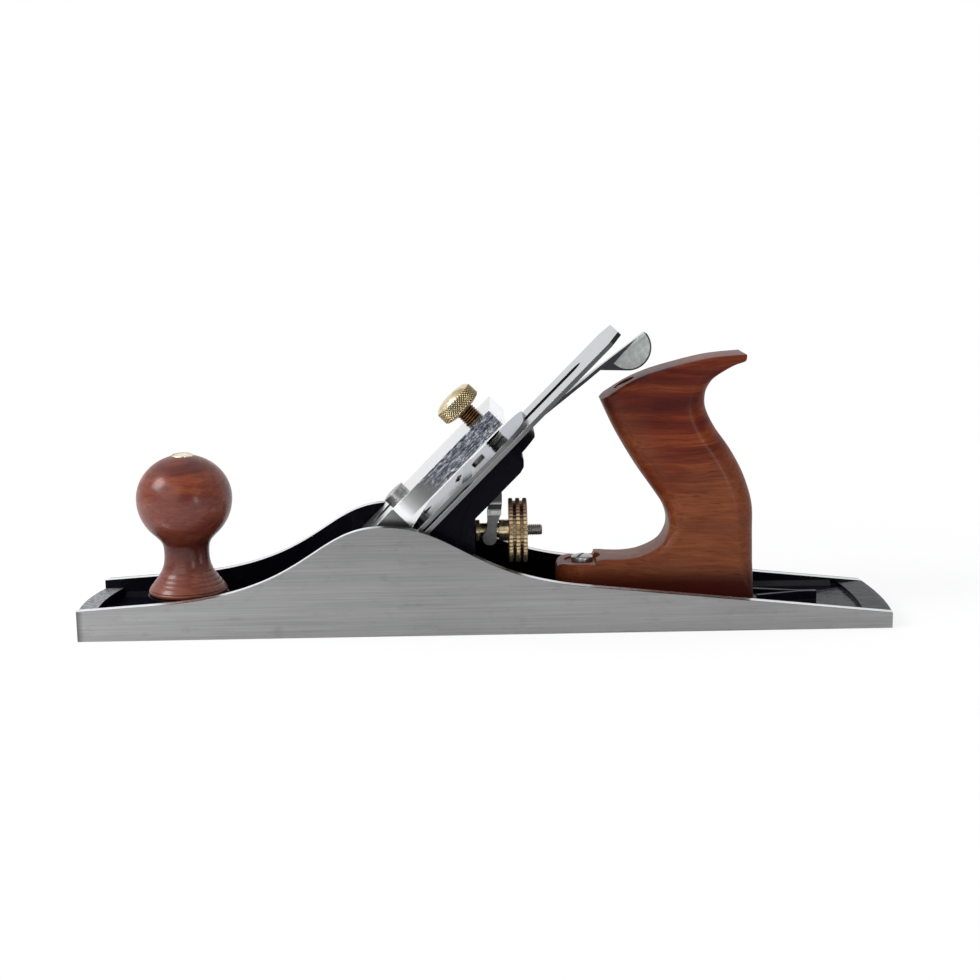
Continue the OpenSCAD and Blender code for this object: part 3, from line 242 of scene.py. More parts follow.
def body_material():
    """Ground outside, black inside; the toe's rim is ground too, the heel's is black."""
    m = Mat("body_iron_look")
    x, y, z = m.xyz()
    inner = (BODY_W / 2 - CHEEK_T + 0.06) * MM
    within = m.math("LESS_THAN", m.math("ABSOLUTE", y), inner)
    inside = m.math("MULTIPLY", within, m.math("GREATER_THAN", z, 0.4 * MM))
    wall = m.math("GREATER_THAN", m.math("ABSOLUTE", m.dot((0, 1, 0))), 0.7)
    for bow, rim, end in ((TOE_BOW, TOE_RIM_W - 0.08, -1), (HEEL_BOW, 0.15, 1)):
        r = ((BODY_W / 2) ** 2 + bow ** 2) / (2 * bow)
        c = (MID_X + end * (BODY_L / 2 + bow - r)) * MM
        dx = m.math("MAXIMUM", m.math("MULTIPLY", m.math("SUBTRACT", x, c), float(end)), 0.0)
        d = m.math("SQRT", m.math("ADD", m.math("MULTIPLY", dx, dx), m.math("MULTIPLY", y, y)))
        short = m.math("LESS_THAN", d, (r - rim) * MM)
        if end < 0:
            short = m.math("MAXIMUM", short, wall)
        inside = m.math("MULTIPLY", inside, short)
    up = m.span(m.dot((0, 0, 1)), 0.6, 0.8)
    rim_top = m.math("MULTIPLY", up, within)
    # The cheeks' tops are bright between dark edges, and black over the hump: ground metal lifted by a painted
    # highlight at toe and heel, with a painted edge shadow along the outer edge
    bright = m.math("MAXIMUM", m.span(x, -55 * MM, -45 * MM, 0.8, 0.02), m.span(x, 12 * MM, 24 * MM, 0.02, 0.65))
    outer = m.span(m.math("ABSOLUTE", y), (BODY_W / 2 - 1.2) * MM, (BODY_W / 2 - 0.9) * MM)
    tops = m.blend(outer, bright, m.span(x, -45 * MM, -35 * MM, 0.14, 0.005))
    edge = m.mixed(rim_top, ground(m, tone=tops, rough=0.25, wear=0.2), cast_rim(m))
    # The side's tone is painted shading: darker upward and towards the heel, lighter towards the toe, with a strip of
    # painted shade where the toe's corner turns away
    toe_corner = MID_X - BODY_L / 2
    tone = m.math("MULTIPLY", m.span(z, 10 * MM, 45 * MM, 0.278, 0.222), m.span(x, -180 * MM, -90 * MM, 1.12, 1.0))
    tone = m.math("MULTIPLY", tone, m.span(x, (toe_corner + 0.2) * MM, (toe_corner + 3.2) * MM, 0.4, 1.0))
    tone = m.math("MULTIPLY", tone, m.span(x, 60 * MM, 130 * MM, 1.0, 0.92))
    outside = m.mixed(up, ground(m, tone=tone, rough=0.4, wear=0.6, contrast=0.2), edge)
    return m.done(m.mixed(inside, outside, japan(m, gloss=m.span(x, 125 * MM, 150 * MM, 0.15, 0.55))))


def cast_rim(m):
    """Top of the toe's rim: ground once, now speckled and dull."""
    speckle = m.noise((520, 520, 520), 4.0, 0.7)
    c = m.ramp(speckle, [(0.35, (0.08, 0.08, 0.09)), (0.5, (0.24, 0.24, 0.25)), (0.7, (0.46, 0.46, 0.48))])
    return m.shader(Base_Color=c, Metallic=0.6, Roughness=0.5, Normal=m.bump(speckle, 0.2 * MM, m.bevel()))


def frog_material():
    m = Mat("frog_look")
    on_bed = m.math("GREATER_THAN", m.dot(BED_UP), 0.999)
    return m.done(m.mixed(on_bed, japan(m, gloss=0.06), ground(m, BED_TURN, tone=0.4, rough=0.4)))


def lever_cap_material():
    """Polished top, streaked cast sides, lower end ground smooth with a painted highlight fading up from its step and
    painted shade on the nose below the step.
    """
    m = Mat("lever_cap_look")
    up = m.span(m.dot(BED_UP), 0.55, 0.75)
    u, v, _ = m.bed()
    mottle = m.noise((380, 1500, 1700), 4.0, 0.75, turn=BED_TURN, distortion=0.4)
    pits = m.noise((150, 150, 150), 4.0, 0.65)
    c = m.ramp(mottle, [(0.36, (0.012, 0.014, 0.018)), (0.46, (0.06, 0.065, 0.08)),
                        (0.54, (0.17, 0.18, 0.21)), (0.66, (0.6, 0.62, 0.68))])
    h = m.math("ADD", mottle, pits)
    cast = m.shader(Base_Color=c, Metallic=0.85, Roughness=m.span(pits, 0.3, 0.7, 0.3, 0.5),
                    Normal=m.bump(h, 0.3 * MM, m.bevel(0.5 * MM), 0.7))
    wander = m.math("MULTIPLY", m.math("SUBTRACT", pits, 0.5), 30 * MM)
    to_cast = m.span(m.math("ADD", u, wander), 79 * MM, 92 * MM)
    # Painted light on the smooth flank: a highlight fading up from the step, and painted shade on the nose below it
    step, flank_end = STEP_U - 0.1, 90.0
    share = m.span(u, step * MM, flank_end * MM)
    fade = m.ramp(share, [(0.0, (0.8,) * 3), (0.11, (0.8,) * 3), (0.26, (0.4,) * 3),
                          (0.4, (0.24,) * 3), (0.6, (0.14,) * 3), (1.0, (0.1,) * 3)])
    nose = m.mix(m.span(u, 50 * MM, step * MM), (0.3,) * 3, (0.13,) * 3)
    tone = m.mix(m.math("GREATER_THAN", u, step * MM), nose, fade)
    # A painted highlight runs as a bright line along the lower edge and at the upper end
    low = m.math("MULTIPLY", m.math("GREATER_THAN", u, step * MM), m.span(v, 10.8 * MM, 11.2 * MM, 1.0, 0.0))
    line = m.math("MAXIMUM", low, m.span(u, 127.0 * MM, 127.8 * MM))
    tone = m.mix(line, tone, (0.72,) * 3)
    smooth = m.shader(Base_Color=tone, Metallic=0.9, Roughness=0.22, Normal=m.bump(mottle, 0.02 * MM, m.bevel()))
    side = m.mixed(m.math("MULTIPLY", to_cast, m.math("SUBTRACT", 1.0, line)), smooth, cast)
    end = m.math("GREATER_THAN", u, 127.9 * MM)
    side = m.mixed(end, side, ground(m, tone=0.9, rough=0.15))
    return m.done(m.mixed(up, side, ground(m, BED_TURN, tone=0.58, rough=0.14, wear=0.2, contrast=0.15)))


def steel_material(name, tone=0.6, rough=0.25, turn=(0, 0, 0), wear=0.4):
    m = Mat(name)
    return m.done(ground(m, turn, tone=tone, rough=rough, wear=wear))


def iron_material(name, face_tone, rough, edge_tone, grazing, slot_w=0.0):
    """Plate steel: bright faces, darker ground edges, with painted shade darkening the edges higher up and at the top
    end, and blackening the walls in the slot.
    """
    m = Mat(name)
    u, _, y = m.bed()
    face = m.span(m.math("ABSOLUTE", m.dot(BED_UP)), 0.8, 0.95)
    # Painted shade: the edges darken higher up the bed and go nearly black at the top end
    upper = m.span(u, 126 * MM, 140 * MM)
    near = ground(m, BED_TURN, tone=edge_tone, rough=0.3)
    edge = m.mixed(upper, near, ground(m, BED_TURN, tone=edge_tone * 0.55, rough=0.3))
    edge = m.mixed(m.math("GREATER_THAN", u, 189.5 * MM), edge, ground(m, BED_TURN, tone=0.02, rough=0.3))
    # Painted shade: the walls in the slot are painted nearly black
    if slot_w:
        in_slot = m.math("LESS_THAN", m.math("ABSOLUTE", y), (slot_w / 2 + 0.3) * MM)
        in_slot = m.math("MULTIPLY", in_slot, m.math("LESS_THAN", u, 175 * MM))
        edge = m.mixed(in_slot, edge, m.shader(Base_Color=(0.004,) * 3, Roughness=0.6, Specular_IOR_Level=0.1))
    top = ground(m, BED_TURN, tone=face_tone, rough=rough, wear=0.3, contrast=0.1, grazing=grazing)
    return m.done(m.mixed(face, edge, top))


def lateral_material():
    """Plate steel, its pad grey with a dark rim and a shaded wedge beside the strip."""
    m = Mat("lateral_look")
    u, v, y = m.bed()
    flat = m.math("GREATER_THAN", m.math("ABSOLUTE", m.dot((0, 1, 0))), 0.7)
    du = m.math("SUBTRACT", u, PAD_C[0] * MM)
    dv = m.math("SUBTRACT", v, PAD_C[1] * MM)
    d = m.math("SQRT", m.math("ADD", m.math("MULTIPLY", du, du), m.math("MULTIPLY", dv, dv)))
    rim = m.span(d, (PAD_R - 0.9) * MM, (PAD_R - 0.6) * MM)
    # The wedge's edge runs from its upper end on the strip to its lower end on the arc
    (u1, v1), (u2, v2) = WEDGE
    side = m.math("SUBTRACT", m.math("MULTIPLY", m.math("SUBTRACT", u, u1 * MM), v2 - v1),
                  m.math("MULTIPLY", m.math("SUBTRACT", v, v1 * MM), u2 - u1))
    wedge = m.span(side, 0.0, 4 * MM)
    on_pad = m.math("LESS_THAN", d, (PAD_R + 0.2) * MM)
    # Painted shade: the wedge beside the strip and the flat faces off the pad are painted dark
    dark = m.math("MAXIMUM", m.math("MAXIMUM", rim, wedge), m.math("SUBTRACT", 1.0, on_pad))
    speckle = m.noise((420, 420, 420), 4.0, 0.7)
    c = m.mix(m.span(speckle, 0.4, 0.65), (0.36, 0.385, 0.37), (0.5, 0.53, 0.51))
    c = m.mix(dark, c, (0.022, 0.022, 0.03))
    pad = m.shader(Base_Color=c, Metallic=0.3, Roughness=0.45, Normal=m.bump(speckle, 0.03 * MM, m.bevel(0.2 * MM)))
    return m.done(m.mixed(flat, ground(m, BED_TURN, tone=0.66, rough=0.2), pad))


def yoke_material():
    """Cast arm with light and shade painted in bands by height: dark above, bright bands, and a dull round end."""
    m = Mat("yoke_look")
    _, _, z = m.xyz()
    low, high = 40.0, 66.0
    share = m.span(z, low * MM, high * MM)
    # Painted light and shade: bright bands where faces catch the light, dark bands where they lie in shade
    stops = [(40.0, 0.16), (50.9, 0.16), (51.3, 0.6), (53.8, 0.6), (54.1, 0.02), (56.4, 0.02), (56.7, 0.6), (57.4, 0.6), (57.8, 0.06), (66.0, 0.04)]
    tone = m.ramp(share, [((at - low) / (high - low), (t, t * 1.02, t)) for at, t in stops])
    cast = m.noise((500, 500, 500), 3.0, 0.6)
    tone = m.mix(m.span(cast, 0.3, 0.7, 0.3, 0.0), tone, (0.05,) * 3)
    return m.done(m.shader(Base_Color=tone, Metallic=0.7, Roughness=0.42, Normal=m.bump(cast, 0.06 * MM, m.bevel())))


def brass_base(m, low, mid, high):
    """Aged brass between three colours."""
    tarnish = m.noise((130, 130, 130), 5.0, 0.65)
    fine = m.noise((900, 900, 900), 3.0, 0.6)
    c = m.ramp(tarnish, [(0.32, low), (0.5, mid), (0.7, high)])
    c = m.mix(m.span(fine, 0.55, 0.8, 0.0, 0.4), c, (0.16, 0.1, 0.06))
    return c, m.span(tarnish, 0.3, 0.7, 0.36, 0.22), m.bump(fine, 0.03 * MM, m.bevel(0.15 * MM))


def off_axis(m, foot, along):
    """Distance of the shaded point from the line through foot along a unit vector."""
    v = m.add("ShaderNodeVectorMath", operation="SUBTRACT")
    m.put(v.inputs[0], m.co)
    v.inputs[1].default_value = [c * MM for c in foot]
    cross = m.add("ShaderNodeVectorMath", operation="CROSS_PRODUCT")
    m.put(cross.inputs[0], v.outputs[0])
    cross.inputs[1].default_value = along
    length = m.add("ShaderNodeVectorMath", operation="LENGTH")
    m.put(length.inputs[0], cross.outputs[0])
    return length.outputs["Value"]


def thumb_material():
    """Knurled brass with painted shade in the grooves, its shank painted dark brown with lighter thread crests and its
    end black as painted shade under the lever cap, and pale grey at the tip.
    """
    m = Mat("thumb_look")
    c, r, n = brass_base(m, (0.36, 0.26, 0.12), (0.62, 0.5, 0.28), (0.85, 0.76, 0.54))
    _, v, _ = m.bed()
    foot = (MOUTH_X + THUMB_U * math.cos(BED), 0, THUMB_U * math.sin(BED))
    d = off_axis(m, foot, BED_UP)
    radial = m.span(m.math("ABSOLUTE", m.dot(BED_UP)), 0.55, 0.75, 1.0, 0.0)
    # Painted shade in the knurl's grooves
    groove = m.math("MULTIPLY", radial, m.span(d, (THUMB_D / 2 - 0.42) * MM, (THUMB_D / 2 - 0.12) * MM, 1.0, 0.0))
    groove = m.math("MULTIPLY", groove, m.math("LESS_THAN", v, (THUMB_HEAD_V + THUMB_RIM + 0.1) * MM))
    c = m.mix(m.math("MULTIPLY", groove, 0.95), c, (0.045, 0.032, 0.014))
    # Painted shade: the shank is dark brown with lighter thread crests and its end is black; the very tip is pale grey
    shank = m.math("LESS_THAN", d, 5.2 * MM)
    shank = m.math("MULTIPLY", shank, m.math("LESS_THAN", v, (THUMB_HEAD_V + 0.2) * MM))
    ridge = m.span(d, 4.1 * MM, 4.7 * MM)
    c = m.mix(shank, c, m.mix(ridge, (0.03, 0.014, 0.006), (0.3, 0.16, 0.07)))
    tip = m.math("LESS_THAN", v, 10.4 * MM)
    pale_tip = m.span(v, 6.6 * MM, 7.2 * MM, 1.0, 0.0)
    c = m.mix(tip, c, m.mix(pale_tip, (0.004, 0.004, 0.004), (0.4, 0.4, 0.38)))
    return m.done(m.shader(Base_Color=c, Metallic=0.9, Roughness=r, Normal=n))


def nut_material():
    """Wheel of brass rings: pale middle, painted reddish shade above, painted shade dark between the rings."""
    m = Mat("nut_look")
    c, r, n = brass_base(m, (0.44, 0.3, 0.16), (0.76, 0.6, 0.36), (0.98, 0.86, 0.62))
    _, _, z = m.xyz()
    lo, hi = (k.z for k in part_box("adjusting_nut"))
    mid = (lo + hi) / 2
    # Painted shade: the upper part is darkened towards red brown
    c = m.mix(m.span(z, mid + 4 * MM, mid + 12 * MM, 0.0, 0.75), c, (0.2, 0.07, 0.06))
    d = off_axis(m, (0, 0, mid / MM), (1, 0, 0))
    # Painted shade between the rings
    gap = m.span(d, (NUT_R - 1.6) * MM, (NUT_R - 0.9) * MM, 1.0, 0.0)
    wheel = m.math("GREATER_THAN", d, (NUT_R - 2.3) * MM)
    c = m.mix(m.math("MULTIPLY", gap, wheel), c, (0.012, 0.006, 0.004))
    return m.done(m.shader(Base_Color=c, Metallic=0.9, Roughness=r, Normal=n))


def brass_material(name, *tones):
    m = Mat(name)
    c, r, n = brass_base(m, *tones)
    return m.done(m.shader(Base_Color=c, Metallic=0.95, Roughness=r, Normal=n))


def wood_material(name, grain, broad, pale, fade, shade, coat):
    """Varnished hardwood; grain and broad scale its pores and streaks, and it is paler below the heights of fade.

    shade lists heights in mm, each with its share of painted shade."""
    m = Mat(name)
    wander = m.noise((9, 9, 9), 2.0, 0.5)
    bend = m.add("ShaderNodeVectorMath", operation="MULTIPLY_ADD")
    m.put(bend.inputs[0], wander)
    bend.inputs[1].default_value = (0.01, 0.02, 0.03)
    m.put(bend.inputs[2], m.co)
    co = bend.outputs[0]
    streak = m.noise(broad, 5.0, 0.66, co, distortion=0.5)
    fibre = m.noise(grain, 4.0, 0.7, co)
    pores = m.noise(tuple(g * 1.9 for g in grain), 2.0, 0.5, co)
    _, _, z = m.xyz()
    zone = m.math("ADD", m.noise((14, 14, 11), 2.0, 0.5), m.span(z, fade[0] * MM, fade[1] * MM, 0.12, -0.12))
    c = m.ramp(streak, [(0.34, (0.046, 0.003, 0.001)), (0.46, (0.112, 0.013, 0.003)),
                        (0.54, (0.168, 0.030, 0.008)), (0.68, (0.270, 0.070, 0.021))])
    c = m.mix(m.span(zone, 0.42, 0.62, 0.0, 0.55), c, pale)
    c = m.mix(m.span(fibre, 0.36, 0.72, 0.0, 0.6), c, (0.060, 0.007, 0.002))
    c = m.mix(m.span(pores, 0.62, 0.72, 0.0, 0.5), c, (0.016, 0.002, 0.001))
    # Painted shade by height, darkening the tote's foot and the knob's neck under its ball
    low, high = shade[0][0], shade[-1][0]
    painted_shade = m.ramp(m.span(z, low * MM, high * MM), [((at - low) / (high - low), (part,) * 3) for at, part in shade])
    c = m.mix(painted_shade, c, (0.034, 0.003, 0.002))
    h = m.math("SUBTRACT", m.math("MULTIPLY", fibre, 0.4), m.span(pores, 0.60, 0.72))
    n = m.bump(h, 0.06 * MM, m.bevel(0.5 * MM))
    r = m.span(fibre, 0.3, 0.7, 0.36, 0.5)
    return m.done(m.shader(Base_Color=c, Roughness=r, Specular_IOR_Level=0.06, Coat_Weight=coat, Coat_Roughness=0.24, Normal=n))


MATS = {
    "body": body_material(),
    "frog": frog_material(),
    "lever_cap": lever_cap_material(),
    "iron": iron_material("iron_look", 0.38, 0.16, 0.18, (0.92, 0.92, 0.93), IRON_SLOT_W),
    "cap": iron_material("cap_iron_look", 0.4, 0.12, 0.15, (0.66, 0.68, 0.72)),
    "lateral": lateral_material(),
    "bright": steel_material("bright_steel_look", 0.66, 0.22),
    "cap_screw": steel_material("cap_screw_look", 0.4, 0.3, wear=1.6),
    "dark": steel_material("dark_steel_look", 0.3, 0.36),
    "yoke": yoke_material(),
    "thumb": thumb_material(),
    "nut": nut_material(),
    "brass": brass_material("brass_look", (0.26, 0.16, 0.08), (0.44, 0.32, 0.18), (0.66, 0.54, 0.34)),
    "pale_brass": brass_material("pale_brass_look", (0.5, 0.4, 0.25), (0.8, 0.72, 0.54), (0.95, 0.9, 0.76)),
    "tote_wood": wood_material("tote_wood_look", (60, 900, 900), (8, 60, 120), (0.205, 0.07, 0.026), (60, 105),
                               ((8, 0.95), (18, 0.9), (21, 0.6), (25, 0.0), (100, 0.0), (118, 0.3)), 0.16),
    "knob_wood": wood_material("knob_wood_look", (60, 700, 900), (12, 50, 110), (0.18, 0.06, 0.045), (60, 70),
                               ((14, 0.3), (20, 0.0), (28, 0.25), (38, 0.75), (46, 0.35), (54, 0.0), (84, 0.0)), 0.5),
}
LOOKS = {
    "plane_body": "body", "frog": "frog", "frog_screws": "dark", "frog_washers": "dark",
    "frog_adjusting_screw": "dark", "frog_adjusting_plate": "dark", "frog_plate_screw": "dark",
    "cutting_iron": "iron", "cap_iron": "cap", "cap_iron_screw": "dark", "lever_cap": "lever_cap",
    "lever_cap_screw": "cap_screw", "thumb_screw": "thumb", "adjusting_stud": "dark", "adjusting_nut": "nut",
    "yoke": "yoke", "yoke_pin": "dark", "lateral_lever": "lateral", "lateral_lever_pin": "dark",
    "lateral_lever_roller": "bright", "knob": "knob_wood", "knob_stud": "dark", "knob_nut": "brass",
    "tote": "tote_wood", "tote_stud": "dark", "tote_nut": "brass", "tote_toe_screw": "cap_screw",
}
for node_name, look in LOOKS.items():
    slots = nodes[node_name].material_slots
    for s in slots:
        s.material = MATS[look]

# Finer pieces over the CAD nodes
def new_object(name, mesh, material, body, smooth=True, sharp_deg=35.0):
    o = bpy.data.objects.new(name, mesh)
    bpy.context.scene.collection.objects.link(o)
    mesh.materials.append(MATS[material])
    if smooth:
        mesh.shade_smooth()
        bpy.context.view_layer.objects.active = o
        mod = o.modifiers.new("smooth_by_angle", "EDGE_SPLIT")
        mod.split_angle = math.radians(sharp_deg)
    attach(o, body)
    return o


def mesh_of(name, verts, faces):
    mesh = bpy.data.meshes.new(name)
    mesh.from_pydata([Vector(v) * MM for v in verts], [], faces)
    mesh.validate()
    mesh.update()
    return mesh


def boolean(mesh, steps):
    """The mesh after each step, an operation with a second mesh."""
    objects = [bpy.data.objects.new("boolean_part", mesh)]
    for operation, tool in steps:
        objects.append(bpy.data.objects.new("boolean_tool", tool))
        mod = objects[0].modifiers.new("step", "BOOLEAN")
        mod.operation, mod.object, mod.solver = operation, objects[-1], "EXACT"
    for o in objects:
        bpy.context.scene.collection.objects.link(o)
    dg = bpy.context.evaluated_depsgraph_get()
    result = bpy.data.meshes.new_from_object(objects[0].evaluated_get(dg))
    for o in objects:
        bpy.data.objects.remove(o)
    return result


def rod_mesh(foot, axis, length, radius):
    """A cylinder from its foot along axis, in mm."""
    mesh = bpy.data.meshes.new("rod_tool")
    b = bmesh.new()
    bmesh.ops.create_cone(b, cap_ends=True, segments=72, radius1=radius * MM, radius2=radius * MM, depth=length * MM)
    at = (Vector(foot) + Vector(axis).normalized() * length / 2) * MM
    quat = Vector((0, 0, 1)).rotation_difference(Vector(axis))
    bmesh.ops.transform(b, matrix=Matrix.Translation(at) @ quat.to_matrix().to_4x4(), verts=b.verts)
    b.to_mesh(mesh)
    b.free()
    return mesh


def slot_tool(at, length, width, depth, turn_deg):
    """A bar for cutting a driver slot, centred on a head's top."""
    mesh = bpy.data.meshes.new("slot_tool")
    b = bmesh.new()
    bmesh.ops.create_cube(b, size=MM)
    turn = Matrix.Rotation(math.radians(turn_deg), 4, "Z")
    place = Matrix.Translation(Vector(at) * MM) @ turn @ Matrix.Diagonal((length, width, depth, 1))
    bmesh.ops.transform(b, matrix=place, verts=b.verts)
    b.to_mesh(mesh)
    b.free()
    return mesh


# Tote: outline points with length, height, edge radius and 1 at sharp corners, as in the part's source
TOTE_X, TOTE_SEAT_Z, TOTE_T = 35.95, 8.5, 28.0
TOTE = [
    (0, 0, 1, 1), (6, 0, 1, 0), (12, 0, 1, 0), (18, 0, 1, 0), (28, 0, 1, 0), (38, 0, 1, 0), (48, 0, 1, 0),
    (60, 0, 1, 0), (74, 0, 1.5, 0), (94, 0, 1.5, 1), (94.6, 12, 8, 0), (94.7, 32, 10, 0),
    (94.4, 46.3, 10.5, 0), (90.4, 60.1, 11, 0), (84, 72.4, 11, 0), (76.2, 83.7, 11, 0), (71.9, 92.9, 10.5, 0),
    (71.4, 99.3, 8.5, 0), (72.6, 103.4, 7.3, 0), (75.4, 107.5, 4.8, 0), (83.7, 113, 1.8, 0), (89.6, 115.4, 0.8, 0),
    (90, 118.5, 0.8, 1), (80, 117.9, 1.4, 0), (71, 116.8, 2.1, 0), (58, 113.9, 3, 0), (45, 110.2, 3, 0),
    (33.5, 105.2, 3, 0), (21.8, 97.6, 2.5, 1),
    (28.7, 82.6, 9, 0), (37.8, 66.9, 10.5, 0), (47, 53.5, 10.5, 0), (51.8, 46, 10, 0), (54, 39.1, 8, 0),
    (53.6, 33.5, 6, 0), (49.9, 27.2, 4.5, 0), (41.3, 22.7, 3.5, 0), (32.8, 21.2, 3, 0), (22.6, 21.3, 2.5, 0),
    (19.2, 21, 2, 1), (18.5, 19, 1.5, 1), (3.5, 19, 1.5, 0), (0.9, 17.6, 1.5, 0), (0, 15, 1.5, 0),
]
TOTE_STEPS, TOTE_RINGS, FRONT_R, FRONT_CORNER = 6, 9, 9.0, 28


def tote_outline():
    n = len(TOTE)
    pts = [Vector((TOTE_X + a, TOTE_SEAT_Z + b)) for a, b, _, _ in TOTE]
    tan = [Vector((0, 0)) if TOTE[i][3] else (pts[(i + 1) % n] - pts[i - 1]) / 2 for i in range(n)]
    line = []
    for i in range(n):
        a, b = pts[i], pts[(i + 1) % n]
        ta, tb = tan[i], tan[(i + 1) % n]
        s = min(1, 2 * (b - a).length / (0.01 + ta.length + tb.length))
        for k in range(TOTE_STEPS):
            t = k / TOTE_STEPS
            p = (2 * t ** 3 - 3 * t * t + 1) * a + (t ** 3 - 2 * t * t + t) * s * ta + (3 * t * t - 2 * t ** 3) * b + (t ** 3 - t * t) * s * tb
            line.append((p, TOTE[i][2] * (1 - t) + TOTE[(i + 1) % n][2] * t))
    # Near a sharp corner the edge's rounding runs out, so that its inner rings do not cross
    walk = [0.0]
    for (p, _), (q, _) in zip(line, line[1:] + line[:1]):
        walk.append(walk[-1] + (q - p).length)
    sharp = [walk[i * TOTE_STEPS] for i in range(n) if TOTE[i][3]]
    sharp += [w + walk[-1] for w in sharp] + [w - walk[-1] for w in sharp]
    limits = [0.02 + 0.6 * min(abs(w - c) for c in sharp) for w in walk[:-1]]
    return [(p, min(r, 0.8 * limit), min(r + 0.4, limit)) for (p, r), limit in zip(line, limits)]


def tote_mesh():
    line = tote_outline()
    n = len(line)
    rings = []
    # Ring -1 lies a little inside the flat flank, so that the flank keeps one normal
    for side, order in ((-1, range(-1, TOTE_RINGS + 1)), (1, range(TOTE_RINGS, -2, -1))):
        for j in order:
            a = math.radians(90) * max(j, 0) / TOTE_RINGS
            ring = []
            for i, (p, r, inset) in enumerate(line):
                d = (line[(i + 1) % n][0] - line[i - 1][0]).normalized()
                q = p + (r * (1 - math.sin(a)) if j >= 0 else inset) * Vector((-d.y, d.x))
                ring.append((q.x, side * (TOTE_T / 2 - r * (1 - math.cos(a))), q.y))
            rings.append(ring)
    verts = [v for ring in rings for v in ring]
    last = (len(rings) - 1) * n
    faces = []
    for j in range(len(rings) - 1):
        for i in range(n):
            k = (i + 1) % n
            faces.append(((j + 1) * n + i, (j + 1) * n + k, j * n + k, j * n + i))
    faces += [tuple(range(n)), tuple(range(last, last + n))[::-1]]
    return mesh_of("tote_smooth", verts, faces)


def rounded_plan():
    """A tall block over the tote's plan, its front a half circle about the toe screw."""
    r, back, height, steps = TOTE_T / 2, TOTE_X + 100, 140, 48
    plan = [(TOE_SCREW - r * math.cos(a), -r * math.sin(a)) for a in (math.pi * (i / steps - 0.5) for i in range(steps + 1))]
    plan = [(back, r + 1), (TOE_SCREW, r + 1)] + plan + [(TOE_SCREW, -r - 1), (back, -r - 1)]
    n = len(plan)
    verts = [(x, y, z) for z in (-5, height) for x, y in plan]
    faces = [tuple(range(n))[::-1], tuple(range(n, 2 * n))]
    faces += [(i, (i + 1) % n, n + (i + 1) % n, n + i) for i in range(n)]
    return mesh_of("tote_plan", verts, faces)


def front_corners():
    """Two wedges that round the grip's upper front in plan: the corner outside an arc, all along the front."""
    first = FRONT_CORNER * TOTE_STEPS
    front = [point[0] for point in tote_outline()[first:first + 10]]
    front = [front[0] - 8 * (front[1] - front[0]).normalized()] + front
    arc = [(FRONT_R * (1 - math.cos(a)), TOTE_T / 2 - FRONT_R * (1 - math.sin(a))) for a in (math.radians(7.5 * i) for i in range(13))]
    section = [(-2.0, arc[0][1])] + arc + [(FRONT_R, TOTE_T / 2 + 2), (-2.0, TOTE_T / 2 + 2)]
    n, last = len(section), len(front) - 1
    tools = []
    for end in (-1, 1):
        verts, faces = [], []
        for k, p in enumerate(front):
            along = (front[min(k + 1, last)] - front[max(k - 1, 0)]).normalized()
            verts += [(p.x - along.y * q, end * y, p.y + along.x * q) for q, y in section]
            if k:
                faces += [((k - 1) * n + i, (k - 1) * n + (i + 1) % n, k * n + (i + 1) % n, k * n + i) for i in range(n)]
        faces += [tuple(range(n)), tuple(last * n + i for i in range(n))[::-1]]
        tools.append(outward(mesh_of("front_corner", verts, faces)))
    return tools


def outward(mesh):
    b = bmesh.new()
    b.from_mesh(mesh)
    bmesh.ops.recalc_face_normals(b, faces=b.faces)
    b.to_mesh(mesh)
    b.free()
    return mesh


top_mid = Vector((TOTE_X + 33.5, TOTE_SEAT_Z + 105.2))
TOE_SCREW, TOE_SEAT = TOTE_X + 12.9, 18.4
ROD_TILT = math.radians(22.5)
rod_axis = Vector((-math.sin(ROD_TILT), 0, math.cos(ROD_TILT)))
rod_foot = Vector((top_mid.x + (top_mid.y - TOTE_SEAT_Z) * math.tan(ROD_TILT), 0, TOTE_SEAT_Z))
rod_l = (top_mid.y - TOTE_SEAT_Z) / math.cos(ROD_TILT)
bores = [
    (tuple(rod_foot - rod_axis * 10), tuple(rod_axis), rod_l + 50, 3.15),
    (tuple(rod_foot + rod_axis * (rod_l - 13)), tuple(rod_axis), 40, 5.4),
    ((TOE_SCREW, 0, 0), (0, 0, 1), 60, 2.8),
    ((TOE_SCREW, 0, TOTE_SEAT_Z + TOE_SEAT), (0, 0, 1), 6, 8.8),
]
cutters = front_corners() + [rod_mesh(*bore) for bore in bores]
tote_cut = boolean(tote_mesh(), [("INTERSECT", rounded_plan())] + [("DIFFERENCE", tool) for tool in cutters])
tote = new_object("tote_smooth", tote_cut, "tote_wood", "base")
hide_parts("tote")


def threaded_rod(name, major, minor, pitch, length, round_end=0.8):
    """A rod along +Z from the origin with a helical thread; the ends are closed by fans."""
    per_turn, per_pitch = 36, 8
    rows = int(length / pitch * per_pitch) + 1
    verts, faces = [], []
    for j in range(rows + 1):
        z = length * j / rows
        for i in range(per_turn):
            wave = abs(((z / pitch - i / per_turn) % 1.0) * 2 - 1)
            r = (minor + (major - minor) * min(1.0, max(0.0, wave * 1.5 - 0.25))) / 2
            r = min(r, major / 2 - max(0.0, round_end - (length - z)))
            a = 2 * math.pi * i / per_turn
            verts.append((r * math.cos(a), r * math.sin(a), z))
    for j in range(rows):
        for i in range(per_turn):
            k = (i + 1) % per_turn
            faces.append((j * per_turn + i, j * per_turn + k, (j + 1) * per_turn + k, (j + 1) * per_turn + i))
    faces.append(tuple(range(per_turn))[::-1])
    faces.append(tuple(rows * per_turn + i for i in range(per_turn)))
    return mesh_of(name, verts, faces)


